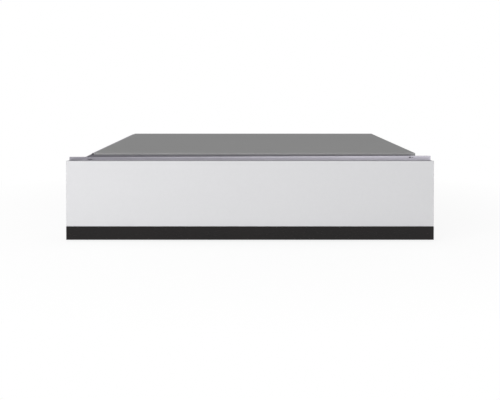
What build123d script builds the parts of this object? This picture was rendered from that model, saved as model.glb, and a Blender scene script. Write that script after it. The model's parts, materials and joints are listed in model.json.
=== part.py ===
"""Built-in warming drawer for a 560 mm wide niche under an oven.

A sheet-metal housing holds a full-width tray on ball-bearing runners. A fan with a ring heater
behind the tray's rear wall warms it, and the controls lie on a ledge behind the front, so the
closed front is plain: a pane of coated glass over a dark strip. The drawer opens towards -Y.
Millimetres, +Z up, X centred on the front, Y centred on the depth, Z from the housing's base.
"""

import os
from math import cos, radians, sin, sqrt

from build123d import *

# Front panel
PANEL_WIDTH = 595.0
PANEL_HEIGHT = 128.0
PANEL_THICKNESS = 17.0
PANEL_BOTTOM = 2.0
GLASS_THICKNESS = 4.0
GLASS_INSET = 0.3
STRIP_HEIGHT = 21.5
STRIP_PROUD = 0.5
STRIP_ROUND = 0.8
GLASS_CHAMFER = 0.6
CARRIER_INSET = 0.5

# Housing
HOUSING_WIDTH = 540.0
HOUSING_HEIGHT = 135.8
HOUSING_DEPTH = 525.0
PANEL_GAP = 5.0
SHEET = 1.0
COVER_SHEET = 1.2
COVER_SHORT = 5.6
COVER_OVERHANG = 9.7
COVER_LIP = 4.4
COVER_NOTCH = 5.0
COVER_LIP_CLEAR = 0.3
FOLD = 13.0
SCREW_HEAD = 2.0

# Front frame
FRAME_WIDTH = 593.0
FRAME_LEDGE = 40.0
LEDGE_DROP = 2.1
LEDGE_OVERLAP = 12.0
OPENING_BOTTOM = 8.0
TOP_RAIL_HEIGHT = 11.8
OPENING_CLEAR = 0.5
GASKET_THICKNESS = 1.6
GASKET_WIDTH = 5.0
FIXING_RADIUS = 2.25
FIXING_INSET = 8.5
FIXING_LOW = 24.0
FIXING_HIGH = 108.0

# Air slots, and the two small cuts in the front frame
VENT_LENGTH = 34.0
VENT_WIDTH = 3.5
VENT_ROWS = 4
VENT_COLUMNS = 3
VENT_ROW_PITCH = 8.0
VENT_PITCH = 44.0
VENT_SETBACK = 150.0
VENT_DROP = 20.0
PLATE_SLOT_LENGTH = 30.0
PLATE_SLOT_WIDTH = 4.0
BASE_SLOTS = 9
BASE_SLOT_MARGIN = 69.0
BASE_SLOT_Y = 120.0
REAR_SLOTS = 5
REAR_SLOT_MARGIN = 49.0
REAR_SLOT_END = 60.0
REAR_SLOT_DROPS = (40.0, 50.0)
FRAME_CUT_INSET = 7.5
FRAME_HOLE_RADIUS = 1.1
FRAME_HOLE_DROP = 2.2
FRAME_SLOT_LENGTH = 7.5
FRAME_SLOT_WIDTH = 1.6
FRAME_SLOT_DROP = 5.5

# Drawer travel
PUSH_IN = 3.0
PLAY = 0.4

# Runners
RUNNER_LENGTH = 450.0
RUNNER_SETBACK = 4.5
RUNNER_HEIGHT = 45.5
RUNNER_DEPTH = 12.7
RUNNER_Z = 60.0
RUNNER_SHEET = 1.2
RACE_THICKNESS = 1.6
MIDDLE_RACE = 2.0
OUTER_BALL = 2.0
INNER_BALL = 1.6
BALL_INSET = 5.7
GROOVE = 0.5
FIT = 0.05
CAGE_SHEET = 0.6
CAGE_GAP = 0.3
CAGE_LENGTH = 160.0
CAGE_SETBACK = 116.0
BALLS_IN_ROW = 6

# Tray
TRAY_CLEAR = 12.0
TRAY_LIP = 6.0
RIM_WIDTH = 8.7
UNDERPAN_Z = 9.0
INSULATION = 10.0
CONTROL_DEPTH = 41.0
FASCIA_DROP = 6.0
FASCIA_SHEET = 2.0
DUCT_DEPTH = 57.0
REAR_SPACE = 38.5
GLASS_BASE = 4.0
PAD_HEIGHT = 3.0
PAD_RADIUS = 9.0
MAT_SHEET = 1.2
BASE_MARGIN = 5.0
MAT_MARGIN = 6.0

# Fan and heater
FAN_Z = 60.0
FAN_RADIUS = 30.0
FAN_LENGTH = 16.0
FAN_BLADES = 20
HEATER_RADIUS = 39.0
HEATER_TUBE = 3.2
MOTOR_RADIUS = 26.0
MOTOR_LENGTH = 24.0
SHAFT_RADIUS = 3.0
BULKHEAD_GAP = 27.0
BULKHEAD_MARGIN = 15.0
GRILLE_WIDTH = 200.0
GRILLE_HEIGHT = 76.0
GRILLE_SHEET = 1.5

# Controls
SWITCH_INSET = 40.3
LAMP_SPACING = 39.0
KNOB_SPACING = 46.0
KNOB_RADIUS = 17.0
KNOB_HEIGHT = 12.0
KNOB_CLEAR = 0.5
LAMP_RADIUS = 4.0
ROCKER_LENGTH = 23.6
ROCKER_WIDTH = 18.6
ROCKER_HEIGHT = 8.0
ROCKER_TILT = 8.0
ROCKER_PIN = 1.2

# Latch, stops and supply inlet
LATCH_Z = 60.0
PLUNGER_RADIUS = 8.0
PLUNGER_STEM = 5.0
PLUNGER_TRAVEL = 6.0
STRIKER_SHEET = 2.0
INLET_INSET = 114.0
INLET_Z = 55.0
CABLE_RADIUS = 3.8
BUSH_NECK = 7.0
BUSH_FLANGE = 10.0
BUSH_LENGTH = 22.0
EARTH_RADIUS = 2.5
BOX_HALF = 35.0
BOX_LOW = 30.0
BOX_HIGH = 80.0
BOX_DEPTH = 30.0
BOX_WALL = 2.0
LATCH_HALF = 20.0
LATCH_HEIGHT = 34.0
LATCH_SETBACK = 1.6
PLUNGER_HEAD = 4.0
WELL_FLOOR = 12.5
BORE_FLOOR = 2.5
STOP_RADIUS = 9.0
STOP_TIP = 7.0
STOP_INSET = 41.3
EARTH_SPACING = 50.0
LOOM_RADIUS = 3.5
LOOM_BEND = 25.0

# Fasteners
SCREW_RADIUS = 2.0
RIVET_SPOTS = (0.1, 0.5, 0.9)
TRAY_SCREW_SPOTS = (0.03, 0.5, 0.97)
REAR_SCREWS = 4
REAR_SCREW_MARGIN = 50.0
HEAD_RADIUS = 4.0
HOLE_CLEAR = 0.1

# Places that follow from the sizes above
DEPTH = PANEL_THICKNESS + PANEL_GAP + HOUSING_DEPTH
FACE_Y = -DEPTH / 2
GLASS_FRONT_Y = FACE_Y + STRIP_PROUD
CARRIER_Y = GLASS_FRONT_Y + GLASS_THICKNESS
PANEL_BACK_Y = FACE_Y + PANEL_THICKNESS
FRAME_Y = PANEL_BACK_Y + PANEL_GAP
CASE_Y = FRAME_Y + SHEET
BACK_Y = DEPTH / 2
REAR_Y = BACK_Y - SCREW_HEAD
REAR_IN_Y = REAR_Y - SHEET
LEDGE_Y = FACE_Y + PANEL_THICKNESS + PANEL_GAP + FRAME_LEDGE
LEDGE_END_Y = LEDGE_Y + LEDGE_OVERLAP
LEDGE_TOP = HOUSING_HEIGHT - LEDGE_DROP
WALL_OUT = HOUSING_WIDTH / 2
WALL_IN = WALL_OUT - SHEET
OPENING_X = WALL_IN - OPENING_CLEAR
OPENING_TOP = HOUSING_HEIGHT - TOP_RAIL_HEIGHT
FIXING_X = FRAME_WIDTH / 2 - FIXING_INSET
TRAY_TOP = OPENING_TOP - TRAY_CLEAR
FASCIA_TOP = TRAY_TOP - FASCIA_DROP
REAR_WALL_Y = REAR_IN_Y - REAR_SPACE - DUCT_DEPTH
PANEL_TOP = PANEL_BOTTOM + PANEL_HEIGHT
STRIP_TOP = PANEL_BOTTOM + STRIP_HEIGHT
TRAY_OUT = WALL_IN - RUNNER_DEPTH
TRAY_IN = TRAY_OUT - SHEET
UNDERPAN_TOP = UNDERPAN_Z + SHEET
FLOOR_Z = UNDERPAN_TOP + INSULATION
FLOOR_TOP = FLOOR_Z + SHEET
PARTITION_Y = PANEL_BACK_Y + CONTROL_DEPTH
DUCT_BACK_Y = REAR_WALL_Y + DUCT_DEPTH
BULKHEAD_Y = REAR_WALL_Y + SHEET + BULKHEAD_GAP
CONTROL_Y = (PANEL_BACK_Y + PARTITION_Y) / 2
RUNNER_Y = CASE_Y + RUNNER_SETBACK
PLUNGER_Y = DUCT_BACK_Y + STRIKER_SHEET + PUSH_IN + PLAY
LOOM_Z = UNDERPAN_TOP + INSULATION / 2
SWITCH_X = TRAY_IN - SWITCH_INSET
LAMP_X = SWITCH_X - LAMP_SPACING
KNOB_X = LAMP_X - KNOB_SPACING
INLET_X = WALL_IN - INLET_INSET
EARTH_X = INLET_X - EARTH_SPACING
LATCH_FRONT_Y = PLUNGER_Y + LATCH_SETBACK
WELL_END_Y = REAR_IN_Y - WELL_FLOOR
BORE_END_Y = REAR_IN_Y - BORE_FLOOR
STEM_END_Y = BORE_END_Y - PLUNGER_TRAVEL - PLAY

# The runners' section: U from the side wall towards the drawer, V up from the middle
OUTER_RACE_V = RUNNER_HEIGHT / 2 - RACE_THICKNESS
OUTER_BALL_V = OUTER_RACE_V + GROOVE - FIT - OUTER_BALL
MIDDLE_RACE_V = OUTER_BALL_V - OUTER_BALL - FIT + GROOVE
MIDDLE_IN_V = MIDDLE_RACE_V - MIDDLE_RACE
INNER_BALL_V = MIDDLE_IN_V + GROOVE - FIT - INNER_BALL
INNER_RACE_V = INNER_BALL_V - INNER_BALL - FIT + GROOVE
OUTER_CAGE_U = RUNNER_SHEET + CAGE_GAP
MIDDLE_U = OUTER_CAGE_U + CAGE_SHEET + CAGE_GAP
INNER_CAGE_U = MIDDLE_U + RUNNER_SHEET + CAGE_GAP
INNER_U = INNER_CAGE_U + CAGE_SHEET + CAGE_GAP
OUTER_REACH = RUNNER_DEPTH - RUNNER_SHEET - 0.9
BALL_DEPTH = RUNNER_DEPTH - BALL_INSET
CAGE_REACH = BALL_DEPTH + OUTER_BALL + 0.6

NODES = {}


def block(x0, x1, y0, y1, z0, z1):
    """A box between two corners."""
    centre = Pos((x0 + x1) / 2, (y0 + y1) / 2, (z0 + z1) / 2)
    return centre * Box(abs(x1 - x0), abs(y1 - y0), abs(z1 - z0))


def rod_x(x0, x1, y, z, radius):
    """A round bar along X."""
    return Pos((x0 + x1) / 2, y, z) * Rot(0, 90, 0) * Cylinder(radius, abs(x1 - x0))


def rod_y(x, y0, y1, z, radius):
    """A round bar along Y."""
    return Pos(x, (y0 + y1) / 2, z) * Rot(90, 0, 0) * Cylinder(radius, abs(y1 - y0))


def rod_z(x, y, z0, z1, radius):
    """A round bar along Z."""
    return Pos(x, y, (z0 + z1) / 2) * Cylinder(radius, abs(z1 - z0))


def slot_cutter(across, length, width, reach):
    """A round-ended slot along X, cut along the axis named by across."""
    cutter = extrude(SlotOverall(length, width), amount=reach / 2, both=True)
    turns = {"z": Rot(0, 0, 0), "y": Rot(90, 0, 0)}
    return turns[across] * cutter


def spread(start, stop, count):
    """Evenly spaced places from start to stop."""
    step = (stop - start) / (count - 1)
    return [start + step * i for i in range(count)]


def group(pieces):
    """Separate solids in one node."""
    return Compound(children=list(pieces))


def both_sides(piece):
    """A right-hand piece and its mirror image."""
    return {"left": mirror(piece, about=Plane.YZ), "right": piece}


def keep(name, shape):
    """Name a finished node."""
    NODES[name] = shape


# Housing


def side_wall():
    """The right side wall, with its air slots. Its top folds in behind the front frame's ledge."""
    wall = block(WALL_IN, WALL_OUT, CASE_Y, REAR_Y, 0, HOUSING_HEIGHT - SHEET)
    fold = block(
        WALL_OUT - FOLD,
        WALL_OUT,
        LEDGE_END_Y,
        REAR_IN_Y - SHEET,
        HOUSING_HEIGHT - SHEET,
        HOUSING_HEIGHT,
    )
    under_ledge = block(
        WALL_IN - 1, WALL_OUT + 1, CASE_Y - 1, LEDGE_END_Y, LEDGE_TOP - SHEET, HOUSING_HEIGHT
    )
    cutters = [under_ledge]
    for column in range(VENT_COLUMNS):
        for row in range(VENT_ROWS):
            y = REAR_Y - VENT_SETBACK + column * VENT_PITCH
            place = Pos(WALL_OUT, y, HOUSING_HEIGHT - VENT_DROP - VENT_ROW_PITCH * row)
            cutter = slot_cutter("z", VENT_LENGTH, VENT_WIDTH, 6 * SHEET)
            cutters.append(place * Rot(0, 90, 0) * Rot(0, 0, 90) * cutter)
    for y in runner_rivet_ys():
        cutters.append(rod_x(WALL_IN - 1, WALL_OUT + 1, y, RUNNER_Z, SCREW_RADIUS))
    for y, z in case_rivet_places():
        cutters.append(rod_x(WALL_IN - 1, WALL_OUT + 1, y, z, SCREW_RADIUS))
    return wall + fold - cutters


def runner_rivet_ys():
    """Where rivets hold the outer runner members to the side walls."""
    return [RUNNER_Y + RUNNER_LENGTH * share for share in RIVET_SPOTS]


def case_rivet_places():
    """Where rivets join the side walls to the folds of the base and the rear panel."""
    low = [(y, FOLD / 2) for y in spread(CASE_Y + 40, REAR_Y - 60, 4)]
    high = [(REAR_IN_Y - FOLD / 2, z) for z in (HOUSING_HEIGHT * 0.3, HOUSING_HEIGHT * 0.75)]
    return low + high


def base_panel():
    """The bottom sheet with its upturned folds and two rows of air slots."""
    sheet = block(-WALL_IN, WALL_IN, CASE_Y, REAR_IN_Y, 0, SHEET)
    side = block(WALL_IN - SHEET, WALL_IN, CASE_Y + 2, REAR_IN_Y - 2 * FOLD, 0, FOLD - 2)
    rear = block(-WALL_IN + 2, WALL_IN - 2, REAR_IN_Y - SHEET, REAR_IN_Y, 0, FOLD)
    cutters = [
        Pos(x, y, SHEET / 2) * slot_cutter("z", PLATE_SLOT_LENGTH, PLATE_SLOT_WIDTH, 4 * SHEET)
        for x in spread(BASE_SLOT_MARGIN - WALL_IN, WALL_IN - BASE_SLOT_MARGIN, BASE_SLOTS)
        for y in (-BASE_SLOT_Y, BASE_SLOT_Y)
    ]
    for y, z in case_rivet_places()[:4]:
        for turn in (-1, 1):
            inner, outer = turn * (WALL_IN - 2), turn * (WALL_IN + 1)
            cutters.append(rod_x(inner, outer, y, z, SCREW_RADIUS))
    for x in rear_screw_xs():
        cutters.append(rod_y(x, REAR_IN_Y - 2, REAR_Y + 1, FOLD / 2, SCREW_RADIUS))
    return sheet + [side, mirror(side, about=Plane.YZ), rear] - cutters


def rear_screw_xs():
    """Where screws hold the rear panel to the base and the cover."""
    return spread(REAR_SCREW_MARGIN - WALL_IN, WALL_IN - REAR_SCREW_MARGIN, REAR_SCREWS)


def rear_panel():
    """The back sheet: forward folds at its ends, air slots, the inlet and the earth hole."""
    sheet = block(-WALL_IN, WALL_IN, REAR_IN_Y, REAR_Y, 0, HOUSING_HEIGHT - SHEET)
    fold_top = HOUSING_HEIGHT - FOLD - 3
    fold = block(WALL_IN - SHEET, WALL_IN, REAR_IN_Y - FOLD, REAR_IN_Y, FOLD, fold_top)
    cutters = [
        Pos(x, REAR_Y, HOUSING_HEIGHT - drop)
        * slot_cutter("y", PLATE_SLOT_LENGTH, PLATE_SLOT_WIDTH, 4 * SHEET)
        for x in spread(REAR_SLOT_MARGIN - WALL_IN, -REAR_SLOT_END, REAR_SLOTS)
        for drop in REAR_SLOT_DROPS
    ]
    cutters.append(rod_y(INLET_X, REAR_IN_Y - 1, REAR_Y + 1, INLET_Z, BUSH_NECK + HOLE_CLEAR))
    cutters.append(rod_y(EARTH_X, REAR_IN_Y - 1, REAR_Y + 1, INLET_Z, EARTH_RADIUS + HOLE_CLEAR))
    for x in rear_screw_xs():
        for z in rear_screw_zs():
            cutters.append(rod_y(x, REAR_IN_Y - 1, REAR_Y + 1, z, SCREW_RADIUS))
    for y, z in case_rivet_places()[4:]:
        for turn in (-1, 1):
            inner, outer = turn * (WALL_IN - 2), turn * (WALL_IN + 1)
            cutters.append(rod_x(inner, outer, y, z, SCREW_RADIUS))
    return sheet + [fold, mirror(fold, about=Plane.YZ)] - cutters


def rear_screw_zs():
    """Heights of the two rows of screws in the rear panel."""
    return (FOLD / 2, HOUSING_HEIGHT - FOLD / 2)


def top_cover():
    """The top plate: its front lip stands on the frame's ledge, its right lip hangs outside the
    wall, and its rear lip takes screws."""
    top = HOUSING_HEIGHT + COVER_SHEET
    left, right = -WALL_OUT + COVER_SHORT, WALL_OUT + COVER_OVERHANG
    lip_back_y = LEDGE_Y + COVER_SHEET
    outer_lip_x = WALL_OUT + COVER_LIP_CLEAR
    plate = block(left, right, LEDGE_Y, BACK_Y, HOUSING_HEIGHT, top)
    front_lip = block(left, right, LEDGE_Y, lip_back_y, LEDGE_TOP, top)
    corner_lip = block(outer_lip_x, right, LEDGE_Y, lip_back_y, top - COVER_LIP, top)
    right_lip = block(
        right - COVER_SHEET, right, LEDGE_Y, BACK_Y - COVER_NOTCH, top - COVER_LIP, top
    )
    rear_lip = block(
        left + SHEET,
        WALL_IN - 2 * SHEET,
        REAR_IN_Y - SHEET,
        REAR_IN_Y,
        HOUSING_HEIGHT - FOLD,
        HOUSING_HEIGHT,
    )
    cutters = []
    for x in rear_screw_xs():
        z = rear_screw_zs()[1]
        cutters.append(rod_y(x, REAR_IN_Y - 2, REAR_Y + 1, z, SCREW_RADIUS))
    return plate + [front_lip, corner_lip, right_lip, rear_lip] - cutters


def frame_top_rail():
    """The front frame's top rail: an upright flange, and behind it the ledge that carries the cover."""
    flange = block(
        -FRAME_WIDTH / 2, FRAME_WIDTH / 2, FRAME_Y, CASE_Y, OPENING_TOP, HOUSING_HEIGHT
    )
    ledge = block(
        -WALL_OUT, WALL_OUT, CASE_Y, LEDGE_END_Y, LEDGE_TOP - SHEET, LEDGE_TOP
    )
    x = WALL_OUT - FRAME_CUT_INSET
    hole_z = HOUSING_HEIGHT - FRAME_HOLE_DROP
    hole = rod_y(x, FRAME_Y - 1, CASE_Y + 1, hole_z, FRAME_HOLE_RADIUS)
    slot = slot_cutter("y", FRAME_SLOT_LENGTH, FRAME_SLOT_WIDTH, 4 * SHEET)
    slot = Pos(-x, FRAME_Y, HOUSING_HEIGHT - FRAME_SLOT_DROP) * slot
    return flange + ledge - [hole, slot]


def frame_bottom_rail():
    """The front frame's bottom rail between the wings."""
    return block(-OPENING_X, OPENING_X, FRAME_Y, CASE_Y, 0, OPENING_BOTTOM)


def frame_wing():
    """The right wing, screwed to the front edge of the cupboard side."""
    wing = block(OPENING_X, FRAME_WIDTH / 2, FRAME_Y, CASE_Y, 0, OPENING_TOP)
    holes = [
        rod_y(FIXING_X, FRAME_Y - 1, CASE_Y + 1, z, FIXING_RADIUS)
        for z in (FIXING_LOW, FIXING_HIGH)
    ]
    return wing - holes


def frame_gasket():
    """The seal round the opening, on the frame's face."""
    front = FRAME_Y - GASKET_THICKNESS
    inner_x = WALL_OUT + 1
    outer_x = inner_x + GASKET_WIDTH
    inner_top = OPENING_TOP + 0.4
    inner_bottom = OPENING_BOTTOM - 1.5
    ring = block(
        -outer_x,
        outer_x,
        front,
        FRAME_Y,
        inner_bottom - GASKET_WIDTH,
        inner_top + GASKET_WIDTH,
    )
    return ring - block(-inner_x, inner_x, front - 1, FRAME_Y + 1, inner_bottom, inner_top)


def rivets():
    """Blind rivets with domed heads on the outside of the side walls."""
    pieces = []
    for turn in (-1, 1):
        places = [(y, RUNNER_Z, RUNNER_SHEET) for y in runner_rivet_ys()]
        places += [(y, z, SHEET) for y, z in case_rivet_places()]
        for y, z, grip in places:
            shank = rod_x(turn * (WALL_IN - grip), turn * WALL_OUT, y, z, SCREW_RADIUS)
            head = rod_x(turn * WALL_OUT, turn * (WALL_OUT + 1.2), y, z, HEAD_RADIUS)
            rim = head.edges().group_by(Axis.X)[-1 if turn > 0 else 0]
            pieces.append(shank + fillet(rim, 1.0))
    return group(pieces)


def rear_screws():
    """Pan-head screws through the rear panel into the base and the cover."""
    pieces = []
    for x in rear_screw_xs():
        for z in rear_screw_zs():
            shank = rod_y(x, REAR_IN_Y - SHEET, REAR_Y, z, SCREW_RADIUS)
            head = rod_y(x, REAR_Y, BACK_Y, z, HEAD_RADIUS)
            head = fillet(head.edges().group_by(Axis.Y)[-1], 1.2)
            cross = [
                block(x - 2.2, x + 2.2, BACK_Y - 1, BACK_Y + 1, z - 0.4, z + 0.4),
                block(x - 0.4, x + 0.4, BACK_Y - 1, BACK_Y + 1, z - 2.2, z + 2.2),
            ]
            pieces.append(shank + head - cross)
    return group(pieces)


# Supply inlet and earth


def terminal_box():
    """The closed plastic box behind the inlet, where the supply is connected."""
    x0, x1 = INLET_X - BOX_HALF, INLET_X + BOX_HALF
    y0 = REAR_IN_Y - BOX_DEPTH
    shell = block(x0, x1, y0, REAR_IN_Y, BOX_LOW, BOX_HIGH)
    shell = fillet(shell.edges().filter_by(Axis.Y), 3)
    inside = block(
        x0 + BOX_WALL,
        x1 - BOX_WALL,
        y0 + BOX_WALL,
        REAR_IN_Y - BOX_WALL,
        BOX_LOW + BOX_WALL,
        BOX_HIGH - BOX_WALL,
    )
    neck = rod_y(INLET_X, REAR_IN_Y - 2 * BOX_WALL, REAR_IN_Y + 1, INLET_Z, BUSH_NECK + HOLE_CLEAR)
    lead_out = rod_x(x0 - 1, x0 + 2 * BOX_WALL, (y0 + REAR_IN_Y) / 2, BOX_LOW + 10, 4)
    return shell - [inside, neck, lead_out]


def cable_bush():
    """The snap-in strain relief in the rear panel, with a bore for the supply lead."""
    neck = rod_y(INLET_X, BACK_Y - BUSH_LENGTH, BACK_Y, INLET_Z, BUSH_NECK)
    flange = rod_y(INLET_X, REAR_Y, BACK_Y, INLET_Z, BUSH_FLANGE)
    flange = chamfer(flange.edges().group_by(Axis.Y)[-1], 0.8)
    bore = rod_y(INLET_X, BACK_Y - BUSH_LENGTH - 1, BACK_Y + 1, INLET_Z, CABLE_RADIUS)
    return neck + flange - bore


def earth_screw():
    """The brass earth screw with its washer."""
    shank = rod_y(EARTH_X, REAR_IN_Y - 5, REAR_Y, INLET_Z, EARTH_RADIUS)
    washer = rod_y(EARTH_X, REAR_Y, REAR_Y + 0.6, INLET_Z, 6)
    head = rod_y(EARTH_X, REAR_Y + 0.6, BACK_Y, INLET_Z, 4.5)
    slot = block(EARTH_X - 5, EARTH_X + 5, BACK_Y - 0.8, BACK_Y + 1, INLET_Z - 0.6, INLET_Z + 0.6)
    return shank + [washer, head] - slot


# Push latch and stops


def latch_body():
    """The push latch's case, with a well for the plunger's head and spring."""
    low, high = LATCH_Z - LATCH_HEIGHT / 2, LATCH_Z + LATCH_HEIGHT / 2
    case = block(-LATCH_HALF, LATCH_HALF, LATCH_FRONT_Y, REAR_IN_Y, low, high)
    case = fillet(case.edges().filter_by(Axis.Y), 4)
    well = rod_y(0, LATCH_FRONT_Y - 1, WELL_END_Y, LATCH_Z, PLUNGER_RADIUS + FIT)
    bore = rod_y(0, LATCH_FRONT_Y - 1, BORE_END_Y, LATCH_Z, PLUNGER_STEM + FIT)
    return case - [well, bore]


def latch_plunger():
    """The sprung plunger that the drawer's striker meets."""
    head = rod_y(0, PLUNGER_Y, PLUNGER_Y + PLUNGER_HEAD, LATCH_Z, PLUNGER_RADIUS)
    head = fillet(head.edges().group_by(Axis.Y)[0], 1.2)
    stem = rod_y(0, PLUNGER_Y + PLUNGER_HEAD, STEM_END_Y, LATCH_Z, PLUNGER_STEM)
    return head + stem


def latch_spring():
    """The plunger's spring, as the sleeve that its turns fill."""
    y0, y1 = PLUNGER_Y + PLUNGER_HEAD, WELL_END_Y
    sleeve = rod_y(0, y0, y1, LATCH_Z, PLUNGER_RADIUS - 0.5)
    return sleeve - rod_y(0, y0 - 1, y1 + 1, LATCH_Z, PLUNGER_STEM + 0.6)


def bump_stops():
    """Two rubber stops on the rear panel that end the drawer's push-in travel."""
    y0 = DUCT_BACK_Y + PUSH_IN + PLAY
    length = REAR_IN_Y - y0
    stops = []
    for x in (STOP_INSET - TRAY_OUT, TRAY_OUT - STOP_INSET):
        cone = Cone(STOP_RADIUS, STOP_TIP, length)
        cone = Pos(x, (y0 + REAR_IN_Y) / 2, LATCH_Z) * Rot(90, 0, 0) * cone
        stops.append(fillet(cone.edges().group_by(Axis.Y)[0], 1.5))
    return group(stops)


# Runners


def runner_block(u0, u1, v0, v1, y0, y1):
    """A box in the right runner's section, from y0 to y1."""
    return block(WALL_IN - u0, WALL_IN - u1, y0, y1, RUNNER_Z + v0, RUNNER_Z + v1)


def channel(u0, u1, web_u0, v_out, v_in, y0, y1):
    """A channel section: a web and two flanges, from y0 to y1."""
    web = runner_block(web_u0, web_u0 + RUNNER_SHEET, -v_out, v_out, y0, y1)
    upper = runner_block(u0, u1, v_in, v_out, y0, y1)
    lower = runner_block(u0, u1, -v_out, -v_in, y0, y1)
    return web + [upper, lower]


def grooves(v, ball, y0, y1):
    """Cutters for the two ball tracks at height v."""
    x = WALL_IN - BALL_DEPTH
    return [rod_y(x, y0 - 1, y1 + 1, RUNNER_Z + turn * v, ball + FIT) for turn in (-1, 1)]


def runner_outer():
    """The right runner's outer member, fixed to the side wall."""
    y0, y1 = RUNNER_Y, RUNNER_Y + RUNNER_LENGTH
    half = RUNNER_HEIGHT / 2
    member = channel(0, OUTER_REACH, 0, half, OUTER_RACE_V, y0, y1)
    cutters = grooves(OUTER_BALL_V, OUTER_BALL, y0, y1)
    for y in runner_rivet_ys():
        cutters.append(rod_x(WALL_IN + 1, WALL_IN - 3, y, RUNNER_Z, SCREW_RADIUS))
    return member - cutters


def runner_middle():
    """The right runner's middle member, which travels half as far as the drawer."""
    y0, y1 = RUNNER_Y, RUNNER_Y + RUNNER_LENGTH
    member = channel(MIDDLE_U, OUTER_REACH - 0.4, MIDDLE_U, MIDDLE_RACE_V, MIDDLE_IN_V, y0, y1)
    cutters = grooves(OUTER_BALL_V, OUTER_BALL, y0, y1)
    cutters += grooves(INNER_BALL_V, INNER_BALL, y0, y1)
    return member - cutters


def runner_inner():
    """The right runner's inner member, fixed to the tray's side."""
    y0, y1 = RUNNER_Y, RUNNER_Y + RUNNER_LENGTH
    web_u = RUNNER_DEPTH - RUNNER_SHEET
    v_in = INNER_RACE_V - RACE_THICKNESS
    member = channel(INNER_U, RUNNER_DEPTH, web_u, INNER_RACE_V, v_in, y0, y1)
    cutters = grooves(INNER_BALL_V, INNER_BALL, y0, y1)
    for y in tray_screw_ys():
        cutters.append(rod_x(TRAY_OUT - 1, TRAY_OUT + 3, y, RUNNER_Z, SCREW_RADIUS))
    return member - cutters


def ball_cages(u, v, ball):
    """The left and right cages of one row pair: each a folded strip and its loose balls."""
    y0 = RUNNER_Y + CAGE_SETBACK
    y1 = y0 + CAGE_LENGTH
    x = WALL_IN - BALL_DEPTH
    half = CAGE_SHEET / 2
    web = runner_block(u, u + CAGE_SHEET, -v - half, v + half, y0, y1)
    flanges = [
        runner_block(u, CAGE_REACH, turn * v - half, turn * v + half, y0, y1)
        for turn in (-1, 1)
    ]
    spots = [
        (y, RUNNER_Z + turn * v)
        for y in spread(y0 + 12, y1 - 12, BALLS_IN_ROW)
        for turn in (-1, 1)
    ]
    holes = [rod_z(x, y, z - 1, z + 1, ball + HOLE_CLEAR) for y, z in spots]
    pieces = [web + flanges - holes]
    pieces += [Pos(x, y, z) * Sphere(ball) for y, z in spots]
    return group(pieces + [mirror(piece, about=Plane.YZ) for piece in pieces])


# Front panel


def front_glass():
    """The coated glass pane above the strip."""
    half = PANEL_WIDTH / 2 - GLASS_INSET
    pane = block(-half, half, GLASS_FRONT_Y, CARRIER_Y, STRIP_TOP + HOLE_CLEAR, PANEL_TOP)
    return chamfer(pane.edges().group_by(Axis.Y)[0], GLASS_CHAMFER)


def front_strip():
    """The dark strip along the panel's foot, a little proud of the glass."""
    half = PANEL_WIDTH / 2
    strip = block(-half, half, FACE_Y, CARRIER_Y, PANEL_BOTTOM, STRIP_TOP)
    return fillet(strip.edges().group_by(Axis.Y)[0], STRIP_ROUND)


def front_carrier():
    """The folded steel pan that carries the glass and the strip."""
    half = PANEL_WIDTH / 2 - CARRIER_INSET
    low, high = PANEL_BOTTOM + CARRIER_INSET, PANEL_TOP - CARRIER_INSET
    pan = block(-half, half, CARRIER_Y, PANEL_BACK_Y, low, high)
    inside = block(
        -half + SHEET,
        half - SHEET,
        CARRIER_Y + SHEET,
        PANEL_BACK_Y + 1,
        low + SHEET,
        high - SHEET,
    )
    return pan - inside


def front_backplate():
    """The plate that closes the pan's back and takes the tray's screws."""
    margin = CARRIER_INSET + SHEET + HOLE_CLEAR
    half = PANEL_WIDTH / 2 - margin
    plate = block(
        -half,
        half,
        PANEL_BACK_Y - SHEET,
        PANEL_BACK_Y,
        PANEL_BOTTOM + margin,
        PANEL_TOP - margin,
    )
    holes = [
        rod_y(x, PANEL_BACK_Y - 2, PANEL_BACK_Y + 1, z, SCREW_RADIUS)
        for x, z in panel_screw_places()
    ]
    return plate - holes


def panel_screw_places():
    """Where screws join the tray's front flanges to the panel's back plate."""
    x = TRAY_IN - 11
    return [(turn * x, z) for turn in (-1, 1) for z in (TRAY_TOP * 0.27, TRAY_TOP * 0.76)]


# Tray


def tray_screw_ys():
    """Where screws join the tray's sides to the inner runner members."""
    return [RUNNER_Y + RUNNER_LENGTH * share for share in TRAY_SCREW_SPOTS]


def tray_side():
    """The tray's right side: a turned-out rim above and a turned-in flange at the front."""
    wall = block(TRAY_IN, TRAY_OUT, PANEL_BACK_Y, DUCT_BACK_Y - SHEET, UNDERPAN_TOP, TRAY_TOP)
    rim_out = TRAY_IN + RIM_WIDTH
    rim = block(TRAY_IN, rim_out, PANEL_BACK_Y, DUCT_BACK_Y, TRAY_TOP - SHEET, TRAY_TOP)
    lip = block(rim_out - SHEET, rim_out, PANEL_BACK_Y, DUCT_BACK_Y, TRAY_TOP - TRAY_LIP, TRAY_TOP)
    flange = block(
        TRAY_IN - 20, TRAY_IN, PANEL_BACK_Y, PANEL_BACK_Y + SHEET, UNDERPAN_TOP, FASCIA_TOP - FASCIA_SHEET
    )
    holes = [
        rod_x(TRAY_IN - 1, TRAY_OUT + 1, y, RUNNER_Z, SCREW_RADIUS) for y in tray_screw_ys()
    ]
    holes += [
        rod_y(x, PANEL_BACK_Y - 1, PANEL_BACK_Y + 2, z, SCREW_RADIUS)
        for x, z in panel_screw_places()
        if x > 0
    ]
    return wall + [rim, lip, flange] - holes


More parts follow.
